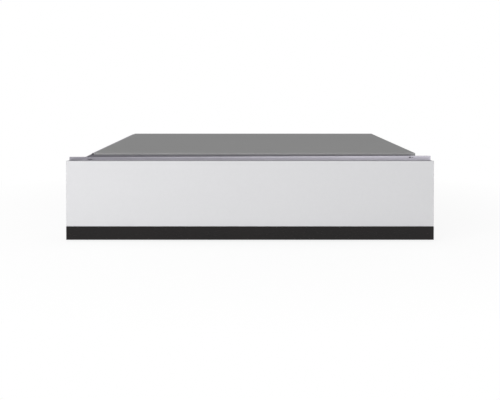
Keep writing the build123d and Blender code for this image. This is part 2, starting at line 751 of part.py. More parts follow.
def drawer_screws():
    """Screws of the panel's back plate and of the inner runner members."""
    pieces = []
    for x, z in panel_screw_places():
        y = PANEL_BACK_Y + SHEET
        shank = rod_y(x, PANEL_BACK_Y - 5, y, z, SCREW_RADIUS)
        head = rod_y(x, y, y + SCREW_HEAD, z, HEAD_RADIUS)
        pieces.append(shank + fillet(head.edges().group_by(Axis.Y)[-1], 1.0))
    for turn in (-1, 1):
        for y in tray_screw_ys():
            shank = rod_x(turn * TRAY_IN, turn * (TRAY_OUT + RUNNER_SHEET), y, RUNNER_Z, SCREW_RADIUS)
            head = rod_x(turn * TRAY_IN, turn * (TRAY_IN - SCREW_HEAD), y, RUNNER_Z, HEAD_RADIUS)
            rim = head.edges().group_by(Axis.X)[0 if turn > 0 else -1]
            pieces.append(shank + fillet(rim, 1.0))
    return group(pieces)


def underpan():
    """The sheet under the whole drawer, below the insulation."""
    return block(-TRAY_OUT, TRAY_OUT, PANEL_BACK_Y, DUCT_BACK_Y, UNDERPAN_Z, UNDERPAN_TOP)


def floor_insulation():
    """The insulating board under the tray's floor, with a channel for the wiring."""
    gap = 0.5
    board = block(
        -TRAY_IN + gap, TRAY_IN - gap, PARTITION_Y, REAR_WALL_Y, UNDERPAN_TOP, FLOOR_Z
    )
    half = LOOM_RADIUS + 1
    cut = block(
        KNOB_X - half, KNOB_X + half, PARTITION_Y - 1, REAR_WALL_Y + 1, UNDERPAN_TOP - 1, FLOOR_Z + 1
    )
    return board - cut


def tray_floor():
    """The tray's floor sheet."""
    return block(
        -TRAY_IN, TRAY_IN, PARTITION_Y - SHEET, REAR_WALL_Y + SHEET, FLOOR_Z, FLOOR_TOP
    )


def control_partition():
    """The upright sheet between the tray and the space for the controls."""
    return block(
        -TRAY_IN,
        TRAY_IN,
        PARTITION_Y - SHEET,
        PARTITION_Y,
        FLOOR_TOP,
        FASCIA_TOP - FASCIA_SHEET,
    )


def tray_rear_wall():
    """The tray's rear wall: a window for the fan and air outlets on each side."""
    wall = block(-TRAY_IN, TRAY_IN, REAR_WALL_Y, REAR_WALL_Y + SHEET, FLOOR_TOP, TRAY_TOP)
    window = rod_y(0, REAR_WALL_Y - 1, REAR_WALL_Y + 2, FAN_Z, FAN_RADIUS + 2)
    side_x = (GRILLE_WIDTH / 2 + TRAY_IN) / 2
    length = TRAY_IN - GRILLE_WIDTH / 2 - 65
    outlets = [
        Pos(turn * side_x, REAR_WALL_Y, z) * slot_cutter("y", length, 4, 4 * SHEET)
        for turn in (-1, 1)
        for z in spread(FAN_Z - 24, FAN_Z + 24, 5)
    ]
    return wall - [window, *outlets]


def duct_cover():
    """The folded sheet that closes the air duct above and behind."""
    top = block(
        -TRAY_IN, TRAY_IN, REAR_WALL_Y + SHEET, DUCT_BACK_Y, TRAY_TOP - SHEET, TRAY_TOP
    )
    back = block(
        -TRAY_OUT, TRAY_OUT, DUCT_BACK_Y - SHEET, DUCT_BACK_Y, UNDERPAN_TOP, TRAY_TOP - SHEET
    )
    return top + back


def air_grille():
    """The slotted plate in front of the fan."""
    y0 = REAR_WALL_Y - GRILLE_SHEET
    low = FAN_Z - GRILLE_HEIGHT / 2
    plate = block(-GRILLE_WIDTH / 2, GRILLE_WIDTH / 2, y0, REAR_WALL_Y, low, low + GRILLE_HEIGHT)
    plate = fillet(plate.edges().filter_by(Axis.Y), 8)
    count, pitch, length = 7, 9.0, 80.0
    cutters = [
        Pos(turn * 46, y0, FAN_Z + (row - (count - 1) / 2) * pitch)
        * slot_cutter("y", length, 4, 4 * GRILLE_SHEET)
        for row in range(count)
        for turn in (-1, 1)
    ]
    return plate - cutters


def glass_base():
    """The toughened glass plate on the tray's floor."""
    half = TRAY_IN - BASE_MARGIN
    z0 = FLOOR_TOP + PAD_HEIGHT
    plate = block(
        -half,
        half,
        PARTITION_Y + BASE_MARGIN,
        REAR_WALL_Y - BASE_MARGIN,
        z0,
        z0 + GLASS_BASE,
    )
    plate = fillet(plate.edges().filter_by(Axis.Z), 8)
    return chamfer(plate.edges().group_by(Axis.Z)[-1], 0.6)


def glass_pads():
    """Four silicone pads under the glass base."""
    x = TRAY_IN - 40
    ys = (PARTITION_Y + 40, REAR_WALL_Y - 40)
    return group(
        rod_z(turn * x, y, FLOOR_TOP, FLOOR_TOP + PAD_HEIGHT, PAD_RADIUS)
        for turn in (-1, 1)
        for y in ys
    )


def anti_slip_mat():
    """The thin silicone mat on the glass base."""
    margin = BASE_MARGIN + MAT_MARGIN
    half = TRAY_IN - margin
    z0 = FLOOR_TOP + PAD_HEIGHT + GLASS_BASE
    mat = block(
        -half, half, PARTITION_Y + margin, REAR_WALL_Y - margin, z0, z0 + MAT_SHEET
    )
    return fillet(mat.edges().filter_by(Axis.Z), 10)


# Fan, heater and wiring


def fan_bulkhead():
    """The upright sheet between the fan's chamber and the motor."""
    half = KNOB_X + BULKHEAD_MARGIN
    sheet = block(
        -half, half, BULKHEAD_Y, BULKHEAD_Y + SHEET, UNDERPAN_TOP, TRAY_TOP - SHEET
    )
    holes = [rod_y(0, BULKHEAD_Y - 1, BULKHEAD_Y + 2, FAN_Z, 12)]
    for x, z in heater_leg_places():
        holes.append(rod_y(x, BULKHEAD_Y - 1, BULKHEAD_Y + 2, z, HEATER_TUBE + 1))
    into_bend = BULKHEAD_Y + SHEET / 2 - (loom_rise_y() - LOOM_BEND)
    loom_z = LOOM_Z + LOOM_BEND - sqrt(LOOM_BEND**2 - into_bend**2)
    holes.append(rod_y(KNOB_X, BULKHEAD_Y - 1, BULKHEAD_Y + 2, loom_z, LOOM_RADIUS + 2.5))
    return sheet - holes


def fan_motor():
    """The fan's motor, its case and mounting ring, bored for the shaft."""
    y0 = BULKHEAD_Y + SHEET
    ring = rod_y(0, y0, y0 + 2, FAN_Z, MOTOR_RADIUS + 4)
    case = rod_y(0, y0, y0 + MOTOR_LENGTH, FAN_Z, MOTOR_RADIUS)
    case = fillet(case.edges().group_by(Axis.Y)[-1], 3)
    bore = rod_y(0, y0 - 1, y0 + MOTOR_LENGTH - 2, FAN_Z, SHAFT_RADIUS + FIT)
    return ring + case - bore


def fan_shaft():
    """The motor's shaft."""
    return rod_y(0, fan_front_y() - 2, BULKHEAD_Y + SHEET + MOTOR_LENGTH - 3, FAN_Z, SHAFT_RADIUS)


def fan_front_y():
    """The impeller's front face."""
    return REAR_WALL_Y + SHEET + 5


def fan_impeller():
    """The radial impeller: a back disc, a hub, straight blades and a front ring."""
    y0 = fan_front_y()
    y1 = y0 + FAN_LENGTH
    disc = rod_y(0, y1 - 1.5, y1, FAN_Z, FAN_RADIUS)
    hub = rod_y(0, y0 + 2, y1, FAN_Z, 7)
    ring = rod_y(0, y0, y0 + 1.5, FAN_Z, FAN_RADIUS) - rod_y(0, y0 - 1, y0 + 3, FAN_Z, FAN_RADIUS - 9)
    blade = block(FAN_RADIUS - 9, FAN_RADIUS - 0.6, y0, y1, -0.6, 0.6)
    blades = [
        Pos(0, 0, FAN_Z) * Rot(0, 360 * i / FAN_BLADES, 0) * blade for i in range(FAN_BLADES)
    ]
    return disc + [hub, ring, *blades] - rod_y(0, y0 - 1, y1 + 1, FAN_Z, SHAFT_RADIUS)


def heater_leg_places():
    """Where the heater's two legs leave its ring."""
    angles = (radians(-78), radians(-102))
    return [(HEATER_RADIUS * cos(a), FAN_Z + HEATER_RADIUS * sin(a)) for a in angles]


def heater_ring():
    """The tubular heating element round the impeller, with two legs to the rear."""
    y = fan_front_y() + FAN_LENGTH / 2
    gap = 24
    section = Pos(HEATER_RADIUS, 0, 0) * Circle(HEATER_TUBE)
    section = Rot(90, 0, 0) * section
    ring = revolve(section, axis=Axis.Z, revolution_arc=360 - gap)
    ring = Pos(0, y, FAN_Z) * Rot(90, 0, 0) * Rot(0, 0, -78) * ring
    piece = ring
    for x, z in heater_leg_places():
        leg = rod_y(x, y, DUCT_BACK_Y - SHEET - 3, z, HEATER_TUBE)
        piece = piece + [leg, Pos(x, y, z) * Sphere(HEATER_TUBE)]
    return piece


def heater_insulators():
    """Ceramic bushes that hold the heater's legs to the duct's back."""
    y1 = DUCT_BACK_Y - SHEET
    bushes = []
    for x, z in heater_leg_places():
        bush = rod_y(x, y1 - 9, y1, z, HEATER_TUBE + 3)
        bushes.append(bush - rod_y(x, y1 - 10, y1 - 1.5, z, HEATER_TUBE + HOLE_CLEAR))
    return group(bushes)


def thermal_cutout():
    """The safety cut-out behind the bulkhead, where the wiring ends."""
    y0 = BULKHEAD_Y + SHEET
    body = block(KNOB_X - 10, KNOB_X + 10, y0, y0 + 15, loom_end_z(), loom_end_z() + 18)
    cap = rod_y(KNOB_X, y0 + 15, y0 + 18, loom_end_z() + 9, 7)
    return fillet(body.edges().filter_by(Axis.Y), 2) + cap


def loom_end_z():
    """Height at which the wiring meets the cut-out."""
    return LOOM_Z + LOOM_BEND + 5


def loom_rise_y():
    """Where the wiring turns up behind the bulkhead."""
    return BULKHEAD_Y + SHEET + 8


def wiring_loom():
    """The sleeved wiring: down from the thermostat, under the floor, up behind the bulkhead."""
    route = [
        (KNOB_X, CONTROL_Y, thermostat_bottom()),
        (KNOB_X, CONTROL_Y, LOOM_Z),
        (KNOB_X, loom_rise_y(), LOOM_Z),
        (KNOB_X, loom_rise_y(), loom_end_z()),
    ]
    path = FilletPolyline(*route, radius=LOOM_BEND)
    return sweep(Plane(path @ 0, z_dir=path % 0) * Circle(LOOM_RADIUS), path=path)


# Controls


def thermostat_bottom():
    """The underside of the thermostat's case."""
    return FASCIA_TOP - FASCIA_SHEET - 26


def control_fascia():
    """The ledge that covers the control space, pierced for the knob, lamp and switch."""
    plate = block(
        -TRAY_IN,
        TRAY_IN,
        PANEL_BACK_Y + SHEET,
        PARTITION_Y,
        FASCIA_TOP - FASCIA_SHEET,
        FASCIA_TOP,
    )
    half_x, half_y = ROCKER_WIDTH / 2 + 0.7, ROCKER_LENGTH / 2 + 1.7
    low, high = FASCIA_TOP - FASCIA_SHEET - 1, FASCIA_TOP + 1
    cutters = [
        rod_z(KNOB_X, CONTROL_Y, low, high, SHAFT_RADIUS + 1),
        rod_z(LAMP_X, CONTROL_Y, low, high, LAMP_RADIUS + HOLE_CLEAR),
        around_switch(half_x, half_y, low, high),
    ]
    return plate - cutters


def thermostat_body():
    """The thermostat's case under the ledge, bored for its shaft."""
    top = FASCIA_TOP - FASCIA_SHEET
    case = block(KNOB_X - 18, KNOB_X + 18, CONTROL_Y - 16, CONTROL_Y + 16, thermostat_bottom(), top)
    case = fillet(case.edges().filter_by(Axis.Z), 4)
    return case - rod_z(KNOB_X, CONTROL_Y, thermostat_bottom() + 6, top + 1, SHAFT_RADIUS + FIT)


def thermostat_shaft():
    """The shaft between the thermostat and its knob."""
    return rod_z(KNOB_X, CONTROL_Y, thermostat_bottom() + 8, FASCIA_TOP + KNOB_HEIGHT - 3, SHAFT_RADIUS)


def temperature_knob():
    """The low round knob with a grip bar and a pointer notch."""
    z0 = FASCIA_TOP + KNOB_CLEAR
    z1 = FASCIA_TOP + KNOB_HEIGHT
    skirt = rod_z(KNOB_X, CONTROL_Y, z0, z0 + 5, KNOB_RADIUS)
    skirt = fillet(skirt.edges().group_by(Axis.Z)[-1], 1.5)
    grip = block(KNOB_X - 4, KNOB_X + 4, CONTROL_Y - 14, CONTROL_Y + 14, z0 + 4, z1)
    grip = fillet(grip.edges().filter_by(Axis.Z), 3)
    grip = fillet(grip.edges().group_by(Axis.Z)[-1], 1)
    notch = block(KNOB_X - 0.6, KNOB_X + 0.6, CONTROL_Y - 15, CONTROL_Y - 6, z1 - 0.8, z1 + 1)
    bore = rod_z(KNOB_X, CONTROL_Y, z0 - 1, z1 - 3, SHAFT_RADIUS)
    return skirt + grip - [notch, bore]


def around_switch(half_x, half_y, z0, z1):
    """A box centred on the rocker switch."""
    x0, x1 = SWITCH_X - half_x, SWITCH_X + half_x
    return block(x0, x1, CONTROL_Y - half_y, CONTROL_Y + half_y, z0, z1)


def switch_body():
    """The rocker switch's case, whose rim lies on the ledge."""
    top = FASCIA_TOP + 1.5
    low = FASCIA_TOP - 24
    half_x, half_y = ROCKER_WIDTH / 2 + 0.7, ROCKER_LENGTH / 2 + 1.7
    clear_x = half_x - HOLE_CLEAR
    clear_y = half_y - HOLE_CLEAR
    case = around_switch(clear_x, clear_y, low, top)
    rim = around_switch(half_x + 2, half_y + 2, FASCIA_TOP, top)
    rim = fillet(rim.edges().filter_by(Axis.Z), 1.5)
    pocket_x = ROCKER_WIDTH / 2 + 0.3
    pocket_y = half_y - 0.7
    pocket = around_switch(pocket_x, pocket_y, rocker_pivot_z() - 5, top + 1)
    pin = rod_x(SWITCH_X - half_x, SWITCH_X + half_x, CONTROL_Y, rocker_pivot_z(), ROCKER_PIN + FIT)
    return case + rim - [pocket, pin]


def rocker_pivot_z():
    """Height of the rocker's pivot."""
    return FASCIA_TOP - 3.0


def switch_rocker():
    """The rocker at rest in its off position, with its pivot pin."""
    z = rocker_pivot_z()
    half_y = ROCKER_LENGTH / 2
    half_x = ROCKER_WIDTH / 2
    key = block(SWITCH_X - half_x, SWITCH_X + half_x, -half_y, half_y, -1.5, ROCKER_HEIGHT - 2)
    dish = rod_x(SWITCH_X - ROCKER_WIDTH, SWITCH_X + ROCKER_WIDTH, 0, ROCKER_HEIGHT + 42, 45)
    key = key - dish
    pin = rod_x(SWITCH_X - half_x - 0.7, SWITCH_X + half_x + 0.7, 0, 0, ROCKER_PIN)
    return Pos(0, CONTROL_Y, z) * Rot(ROCKER_TILT, 0, 0) * (key + pin)


def pilot_lens():
    """The pilot lamp's lens in the ledge."""
    stem = rod_z(LAMP_X, CONTROL_Y, FASCIA_TOP - 12, FASCIA_TOP + 1.5, LAMP_RADIUS)
    stem = fillet(stem.edges().group_by(Axis.Z)[-1], 1.2)
    rim = rod_z(LAMP_X, CONTROL_Y, FASCIA_TOP, FASCIA_TOP + 0.6, LAMP_RADIUS + 1.2)
    return stem + rim


def latch_striker():
    """The striker plate on the duct's back, in line with the plunger."""
    plate = block(-17, 17, DUCT_BACK_Y, DUCT_BACK_Y + STRIKER_SHEET, LATCH_Z - 14, LATCH_Z + 14)
    return fillet(plate.edges().filter_by(Axis.Y), 3)


def build():
    """Make every node."""
    keep("base_panel", base_panel())
    for side, piece in both_sides(side_wall()).items():
        keep(f"side_wall_{side}", piece)
    keep("rear_panel", rear_panel())
    keep("top_cover", top_cover())
    keep("frame_top_rail", frame_top_rail())
    keep("frame_bottom_rail", frame_bottom_rail())
    for side, piece in both_sides(frame_wing()).items():
        keep(f"frame_wing_{side}", piece)
    keep("frame_gasket", frame_gasket())
    keep("case_rivets", rivets())
    keep("rear_screws", rear_screws())
    keep("terminal_box", terminal_box())
    keep("cable_bush", cable_bush())
    keep("earth_screw", earth_screw())
    keep("latch_body", latch_body())
    keep("latch_plunger", latch_plunger())
    keep("latch_spring", latch_spring())
    keep("bump_stops", bump_stops())
    members = {"outer": runner_outer, "middle": runner_middle, "inner": runner_inner}
    for place, make in members.items():
        for side, piece in both_sides(make()).items():
            keep(f"runner_{place}_{side}", piece)
    keep("outer_ball_cages", ball_cages(OUTER_CAGE_U, OUTER_BALL_V, OUTER_BALL))
    keep("inner_ball_cages", ball_cages(INNER_CAGE_U, INNER_BALL_V, INNER_BALL))
    keep("front_glass", front_glass())
    keep("front_strip", front_strip())
    keep("front_carrier", front_carrier())
    keep("front_backplate", front_backplate())
    for side, piece in both_sides(tray_side()).items():
        keep(f"tray_side_{side}", piece)
    keep("drawer_screws", drawer_screws())
    keep("underpan", underpan())
    keep("floor_insulation", floor_insulation())
    keep("tray_floor", tray_floor())
    keep("control_partition", control_partition())
    keep("tray_rear_wall", tray_rear_wall())
    keep("duct_cover", duct_cover())
    keep("air_grille", air_grille())
    keep("glass_base", glass_base())
    keep("glass_pads", glass_pads())
    keep("anti_slip_mat", anti_slip_mat())
    keep("fan_bulkhead", fan_bulkhead())
    keep("fan_motor", fan_motor())
    keep("fan_shaft", fan_shaft())
    keep("fan_impeller", fan_impeller())
    keep("heater_ring", heater_ring())
    keep("heater_insulators", heater_insulators())
    keep("thermal_cutout", thermal_cutout())
    keep("wiring_loom", wiring_loom())
    keep("control_fascia", control_fascia())
    keep("thermostat_body", thermostat_body())
    keep("thermostat_shaft", thermostat_shaft())
    keep("temperature_knob", temperature_knob())
    keep("switch_body", switch_body())
    keep("switch_rocker", switch_rocker())
    keep("pilot_lens", pilot_lens())
    keep("latch_striker", latch_striker())


build()
os.makedirs("parts", exist_ok=True)
for node, shape in NODES.items():
    export_step(shape, f"parts/{node}.step")
print(len(NODES), "nodes, overall", PANEL_WIDTH, DEPTH, HOUSING_HEIGHT + COVER_SHEET)
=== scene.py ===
"""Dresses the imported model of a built-in warming drawer: its pieces, finishes, floor, lamps and camera."""

import json
from math import cos, pi, radians, sin

import bmesh
import bpy
from bpy.props import FloatProperty, FloatVectorProperty, IntProperty, PointerProperty
from mathutils import Matrix, Vector


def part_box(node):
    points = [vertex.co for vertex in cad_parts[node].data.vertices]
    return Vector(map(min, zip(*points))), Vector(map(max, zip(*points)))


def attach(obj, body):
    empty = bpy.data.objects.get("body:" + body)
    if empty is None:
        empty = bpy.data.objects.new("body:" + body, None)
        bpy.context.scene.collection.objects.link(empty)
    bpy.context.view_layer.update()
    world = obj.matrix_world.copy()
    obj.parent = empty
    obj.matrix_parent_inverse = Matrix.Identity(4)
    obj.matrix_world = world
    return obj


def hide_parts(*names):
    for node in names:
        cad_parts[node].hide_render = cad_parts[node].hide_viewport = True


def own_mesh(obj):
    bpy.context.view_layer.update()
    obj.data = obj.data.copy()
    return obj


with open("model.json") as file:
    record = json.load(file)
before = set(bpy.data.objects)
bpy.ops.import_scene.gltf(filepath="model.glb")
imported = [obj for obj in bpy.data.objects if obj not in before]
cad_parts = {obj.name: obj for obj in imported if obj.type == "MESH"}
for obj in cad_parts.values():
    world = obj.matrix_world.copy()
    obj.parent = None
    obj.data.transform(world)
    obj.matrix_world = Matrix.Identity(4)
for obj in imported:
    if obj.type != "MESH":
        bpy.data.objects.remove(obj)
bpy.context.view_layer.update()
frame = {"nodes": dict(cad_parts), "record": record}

bl_info = {
    "name": "Warming Drawer",
    "version": (1, 0, 0),
    "blender": (4, 5, 0),
    "location": "3D View > Sidebar > Warming Drawer",
    "description": "Builds a built-in warming drawer with its finishes and a plain studio",
    "category": "Add Mesh",
}

SLOT_OF = {row["node"]: row["material_slot"] for row in frame["record"]["subparts"]}
MM = 0.001
# Places closer than NEAR count as the same line, and vertices closer than WELD are merged.
NEAR = 0.02 * MM
WELD = NEAR / 20
X, Y, Z = Vector((1, 0, 0)), Vector((0, 1, 0)), Vector((0, 0, 1))


def length(name, description, millimetres):
    """A size that a user may change, kept in metres."""
    return FloatProperty(
        name=name, description=description, default=millimetres * MM, min=0.0, unit="LENGTH", precision=5
    )


def pair(name, description, *millimetres):
    """Two sizes of one form that a user may change, kept in metres."""
    return FloatVectorProperty(
        name=name, description=description, default=[size * MM for size in millimetres],
        size=2, min=0.0, unit="LENGTH", precision=5,
    )


def colour(name, description, red, green, blue):
    """A colour that a user may change."""
    return FloatVectorProperty(
        name=name, description=description, default=(red, green, blue), min=0.0, max=1.0, subtype="COLOR"
    )


def power(name, description, watts):
    """A lamp's power that a user may change."""
    return FloatProperty(name=name, description=description, default=watts, min=0.0, unit="POWER")


class WARMING_DRAWER_PG_sizes(bpy.types.PropertyGroup):
    """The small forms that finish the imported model's plain shapes."""

    glass_edge: length("Glass edge", "Radius of the pane's ground front edge", 0.6)
    strip_edge: length("Strip edge", "Radius of the strip's front edges", 0.2)
    sheet: length("Sheet", "Thickness of the case and tray sheet", 1.0)
    cover_sheet: length("Cover sheet", "Thickness of the top cover", 1.2)
    bend: length("Bend", "Outer radius of a sheet's bends", 1.4)
    tight_bend: length("Tight bend", "Outer radius of the top cover's bends", 0.5)
    seal_round: length("Seal round", "Radius of the seal's soft edges", 0.7)
    ledge_drop: length("Ledge drop", "How far the front frame's ledge lies under its upper edge", 2.1)
    frame_fall: length("Frame fall", "How much the front frame's upper edge drops at its left end", 1.3)
    frame_rise: length("Frame rise", "How much the front frame's upper edge rises at its right end", 0.5)
    mark_side: length("Mark side", "How far inside the case the frame's hole and slot lie", 7.5)
    hole_drop: length("Hole drop", "How far the frame's hole lies under its upper edge", 2.2)
    hole_radius: length("Hole radius", "Radius of the frame's hole", 1.3)
    nick_gap: length("Nick gap", "Distance from the frame's hole to the fine nick beside it", 4.4)
    nick: pair("Nick", "Length and width of the fine nick", 3.0, 0.6)
    slot_drop: length("Slot drop", "How far the frame's slot lies under its upper edge", 5.5)
    frame_slot: pair("Frame slot", "Length and width of the frame's slot", 7.5, 1.0)
    seal_width: length("Seal width", "Width of the seal's ring", 5.0)
    cover_gap: length("Cover gap", "Gap between the right wall and the cover's right lip", 0.3)
    cover_lip: length("Cover lip", "Height of the top cover's right lip", 4.4)
    cover_lip_end: length("Lip end", "How far the right lip ends before the cover's back edge", 5.0)
    ledge_fold: length("Top fold", "Width of the side walls' top folds", 13.0)
    vent: pair("Vent", "Length and width of the side walls' air slots", 34.0, 3.5)
    vent_pitch: pair("Vent pitch", "Distance between the air slots, along and up the wall", 44.0, 8.0)
    vent_start: pair("Vent start", "How far the first slot lies from the wall's back and top", 150.0, 20.0)
    rim: length("Rim", "Width of the tray's rolled rims", 8.7)
    rim_lip: length("Rim lip", "Height of the rims' turned-down lips", 6.0)
    tray_bend: length("Tray bend", "Outer radius of the rims' bends", 2.0)
    tray_flange: length("Tray flange", "Width of the tray's front flanges", 20.0)
    grille_slot: pair("Grille slot", "Length and width of the air grille's slots", 80.0, 4.0)
    grille_pitch: pair("Grille pitch", "Distance between the grille's slots, along and up", 92.0, 9.0)
    grille_edge: length("Grille edge", "Radius of the air grille's edges", 0.4)
    grille_corner: length("Grille corner", "Corner radius of the air grille", 8.0)
    mat_corner: length("Mat corner", "Corner radius of the silicone mat", 10.0)
    mat_pitch: length("Mat pitch", "Distance between the mat's moulded dots", 14.0)
    mat_dot: pair("Mat dot", "Radius and height of the mat's moulded dots", 1.6, 0.4)
    mat_edge: length("Mat edge", "Radius of the mat's upper edge", 0.3)
    knob_ribs: IntProperty(name="Knob ribs", description="Grip ribs round the knob", default=36, min=6)
    knob_skirt: length("Knob skirt", "Height of the knob's skirt", 5.0)
    knob_taper: length("Knob taper", "How much narrower the skirt is at its top", 0.6)
    knob_groove: length("Knob groove", "Depth of the grooves between the ribs", 0.7)
    knob_rounds: pair("Knob rounds", "Radius of the skirt's and of the grip's upper edges", 0.8, 0.9)
    knob_grip: pair("Knob grip", "Width and length of the knob's grip", 8.0, 28.0)
    grip_corner: length("Grip corner", "Corner radius of the knob's grip", 2.6)
    pointer: pair("Pointer", "Width and length of the knob's pointer line", 1.0, 7.5)
    pointer_reach: length("Pointer reach", "How far the pointer's tip lies from the knob's middle", 12.5)
    dial_gap: length("Dial gap", "Distance from the knob to the dial's numbers", 1.9)
    dial_text: length("Dial text", "Height of the dial's numbers", 2.1)
    spring_turns: IntProperty(name="Spring turns", description="Turns of the latch spring", default=5, min=2)
    spring_wire: length("Spring wire", "Radius of the latch spring's wire", 0.55)


class WARMING_DRAWER_PG_colours(bpy.types.PropertyGroup):
    """The finishes' own colours."""

    glass: colour("Coated glass", "The coating behind the front pane", 0.76, 0.76, 0.775)
    glass_edge: colour("Glass edge", "The ground edge of the pane", 0.35, 0.355, 0.375)
    strip: colour("Strip", "The dark strip under the pane", 0.0085, 0.0066, 0.0066)
    cover: colour("Cover steel", "The brushed top cover", 0.375, 0.375, 0.375)
    zinc: colour("Zinc", "Zinc-coated sheet of the case and frame", 0.455, 0.44, 0.488)
    tray: colour("Tray steel", "Stainless sheet of the tray", 0.46, 0.455, 0.45)
    runner: colour("Runner steel", "Bright zinc plating of the runners", 0.55, 0.56, 0.58)
    rubber: colour("Rubber", "The stops and the duct's seal", 0.022, 0.022, 0.024)
    seal: colour("Seal", "The silicone seal round the opening", 0.4, 0.39, 0.42)
    silicone: colour("Silicone", "The mat and the pads", 0.05, 0.052, 0.056)
    board: colour("Board", "The insulating board", 0.62, 0.56, 0.45)
    plastic: colour("Dark plastic", "The knob, the switch and the ledge", 0.018, 0.018, 0.02)
    housing: colour("Pale plastic", "The supply box and the latch", 0.55, 0.55, 0.53)
    lamp: colour("Lamp", "The pilot lamp's lens", 0.55, 0.03, 0.02)


class WARMING_DRAWER_PG_studio(bpy.types.PropertyGroup):
    """The camera and the lamps."""

    camera_back: length("Camera distance", "How far in front of the model's middle the camera stands", 1553.7)
    camera_height: length("Camera height", "The camera's height over the floor", 261.2)
    camera_pitch: FloatProperty(
        name="Pitch", description="How far the camera looks down", default=radians(1.466), subtype="ANGLE"
    )
    camera_lens: FloatProperty(
        name="Lens", description="Focal length for a 36 mm wide sensor", default=57.22, min=1.0, unit="CAMERA"
    )
    camera_shift: FloatProperty(name="Shift", description="Upward shift of the lens", default=-0.2)
    key_power: power("Key", "Power of the soft lamp at the left", 26.0)
    top_power: power("Top", "Power of the soft lamp overhead", 16.0)
    gloss_power: power("Reflector", "Power of the reflector at the right", 8.8)
    ambient: FloatProperty(name="Ambient", description="Strength of the even light", default=0.44, min=0.0)


# Mesh work


def add_block(bm, low, high):
    """Adds a block between two corners and returns its faces."""
    low, high = Vector(low), Vector(high)
    matrix = Matrix.LocRotScale((low + high) / 2, None, high - low)
    made = bmesh.ops.create_cube(bm, size=1.0, matrix=matrix)
    return list(dict.fromkeys(face for vert in made["verts"] for face in vert.link_faces))


def add_sheet(bm, corner, along, up):
    """Adds a flat sheet with one corner and two sides, and returns its face."""
    matrix = Matrix.Translation(corner) @ Matrix((along, up, along.cross(up))).transposed().to_4x4()
    matrix = matrix @ Matrix.Translation((0.5, 0.5, 0))
    made = bmesh.ops.create_grid(bm, x_segments=1, y_segments=1, size=0.5, matrix=matrix)
    return made["verts"][0].link_faces[0]


def add_rod(bm, start, end, radius, segments=32, end_radius=None):
    """Adds a round bar or a cone between two points and returns its vertices."""
    start, end = Vector(start), Vector(end)
    axis = end - start
    matrix = Matrix.LocRotScale((start + end) / 2, axis.to_track_quat("Z", "Y"), None)
    made = bmesh.ops.create_cone(
        bm,
        cap_ends=True,
        segments=segments,
        radius1=radius,
        radius2=radius if end_radius is None else end_radius,
        depth=axis.length,
        matrix=matrix,
    )
    return made["verts"]


def ease(bm, parts, radius, segments=3, affect="EDGES"):
    """Rounds edges or, where VERTICES are affected, the corners of a flat sheet."""
    bmesh.ops.bevel(
        bm, geom=list(parts), offset=radius, offset_type="OFFSET", affect=affect,
        segments=segments, profile=0.5, material=-1, clamp_overlap=True,
    )


def edges_where(bm, test):
    """The edges whose two ends both pass a test of their place."""
    return [edge for edge in bm.edges if all(test(vert.co) for vert in edge.verts)]


def edges_along(bm, axis):
    """The edges that run along an axis."""
    return [e for e in bm.edges if abs((e.verts[0].co - e.verts[1].co).normalized().dot(axis)) > 0.99]


def score(bm, axis, places):
    """Cuts every face where it crosses the planes square to an axis."""
    for place in places:
        geom = list(bm.verts) + list(bm.edges) + list(bm.faces)
        bmesh.ops.bisect_plane(bm, geom=geom, dist=2 * WELD, plane_co=axis * place, plane_no=axis)


def cut_slots(bm, along, up, places, size):
    """Cuts round-ended slots of one length and width, centred on places (along, up), in a flat sheet."""
    halves = (size[0] / 2, size[1] / 2)
    for index, axis in enumerate((along, up)):
        sides = {round(place[index] + turn * halves[index], 7) for place in places for turn in (-1, 1)}
        score(bm, axis, sorted(sides))

    def beyond(co, place):
        """How far a point lies past a slot's half length and half width."""
        return [abs(co.dot(axis) - at) - half for axis, at, half in zip((along, up), place, halves)]

    across = along.cross(up)
    inside = [
        face for face in bm.faces
        if abs(face.normal.dot(across)) > 0.9
        and any(max(beyond(face.calc_center_median(), place)) < 0 for place in places)
    ]
    bmesh.ops.delete(bm, geom=inside, context="FACES")
    corners = [
        vert for vert in bm.verts
        if any(all(abs(part) < NEAR for part in beyond(vert.co, place)) for place in places)
    ]
    end_radius = min(halves) * 0.97
    ease(bm, corners, end_radius, 5, "VERTICES")


def extrude_edges(bm, edges, move):
    """Draws edges out into new faces and returns the new edges."""
    made = bmesh.ops.extrude_edge_only(bm, edges=list(edges))["geom"]
    verts = [item for item in made if isinstance(item, bmesh.types.BMVert)]
    bmesh.ops.translate(bm, verts=verts, vec=move)
    return [item for item in made if isinstance(item, bmesh.types.BMEdge)]


def folds(bm):
    """The edges at which a sheet is folded."""
    bmesh.ops.recalc_face_normals(bm, faces=bm.faces)
    bm.normal_update()
    return [edge for edge in bm.edges if edge.calc_face_angle(0) > 1.0]


def separate_sheets(bm):
    """The faces of each sheet that hangs together, in the mesh's own order."""
    waiting, sheets = dict.fromkeys(bm.faces), []
    while waiting:
        sheet = [next(iter(waiting))]
        del waiting[sheet[0]]
        for face in sheet:
            for other in (other for edge in face.edges for other in edge.link_faces):
                if other in waiting:
                    del waiting[other]
                    sheet.append(other)
        sheets.append(sheet)
    return sheets


def face_sheets(bm, outward):
    """Turns each open sheet so that its largest face looks outward."""
    bmesh.ops.recalc_face_normals(bm, faces=bm.faces)
    bm.normal_update()
    for sheet in separate_sheets(bm):
        largest = max(sheet, key=lambda face: face.calc_area())
        if largest.normal.dot(outward) < 0:
            bmesh.ops.reverse_faces(bm, faces=sheet)


def add_object(name, data):
    """Puts a new object with its data in the scene."""
    made = bpy.data.objects.new(name, data)
    bpy.context.scene.collection.objects.link(made)
    return made


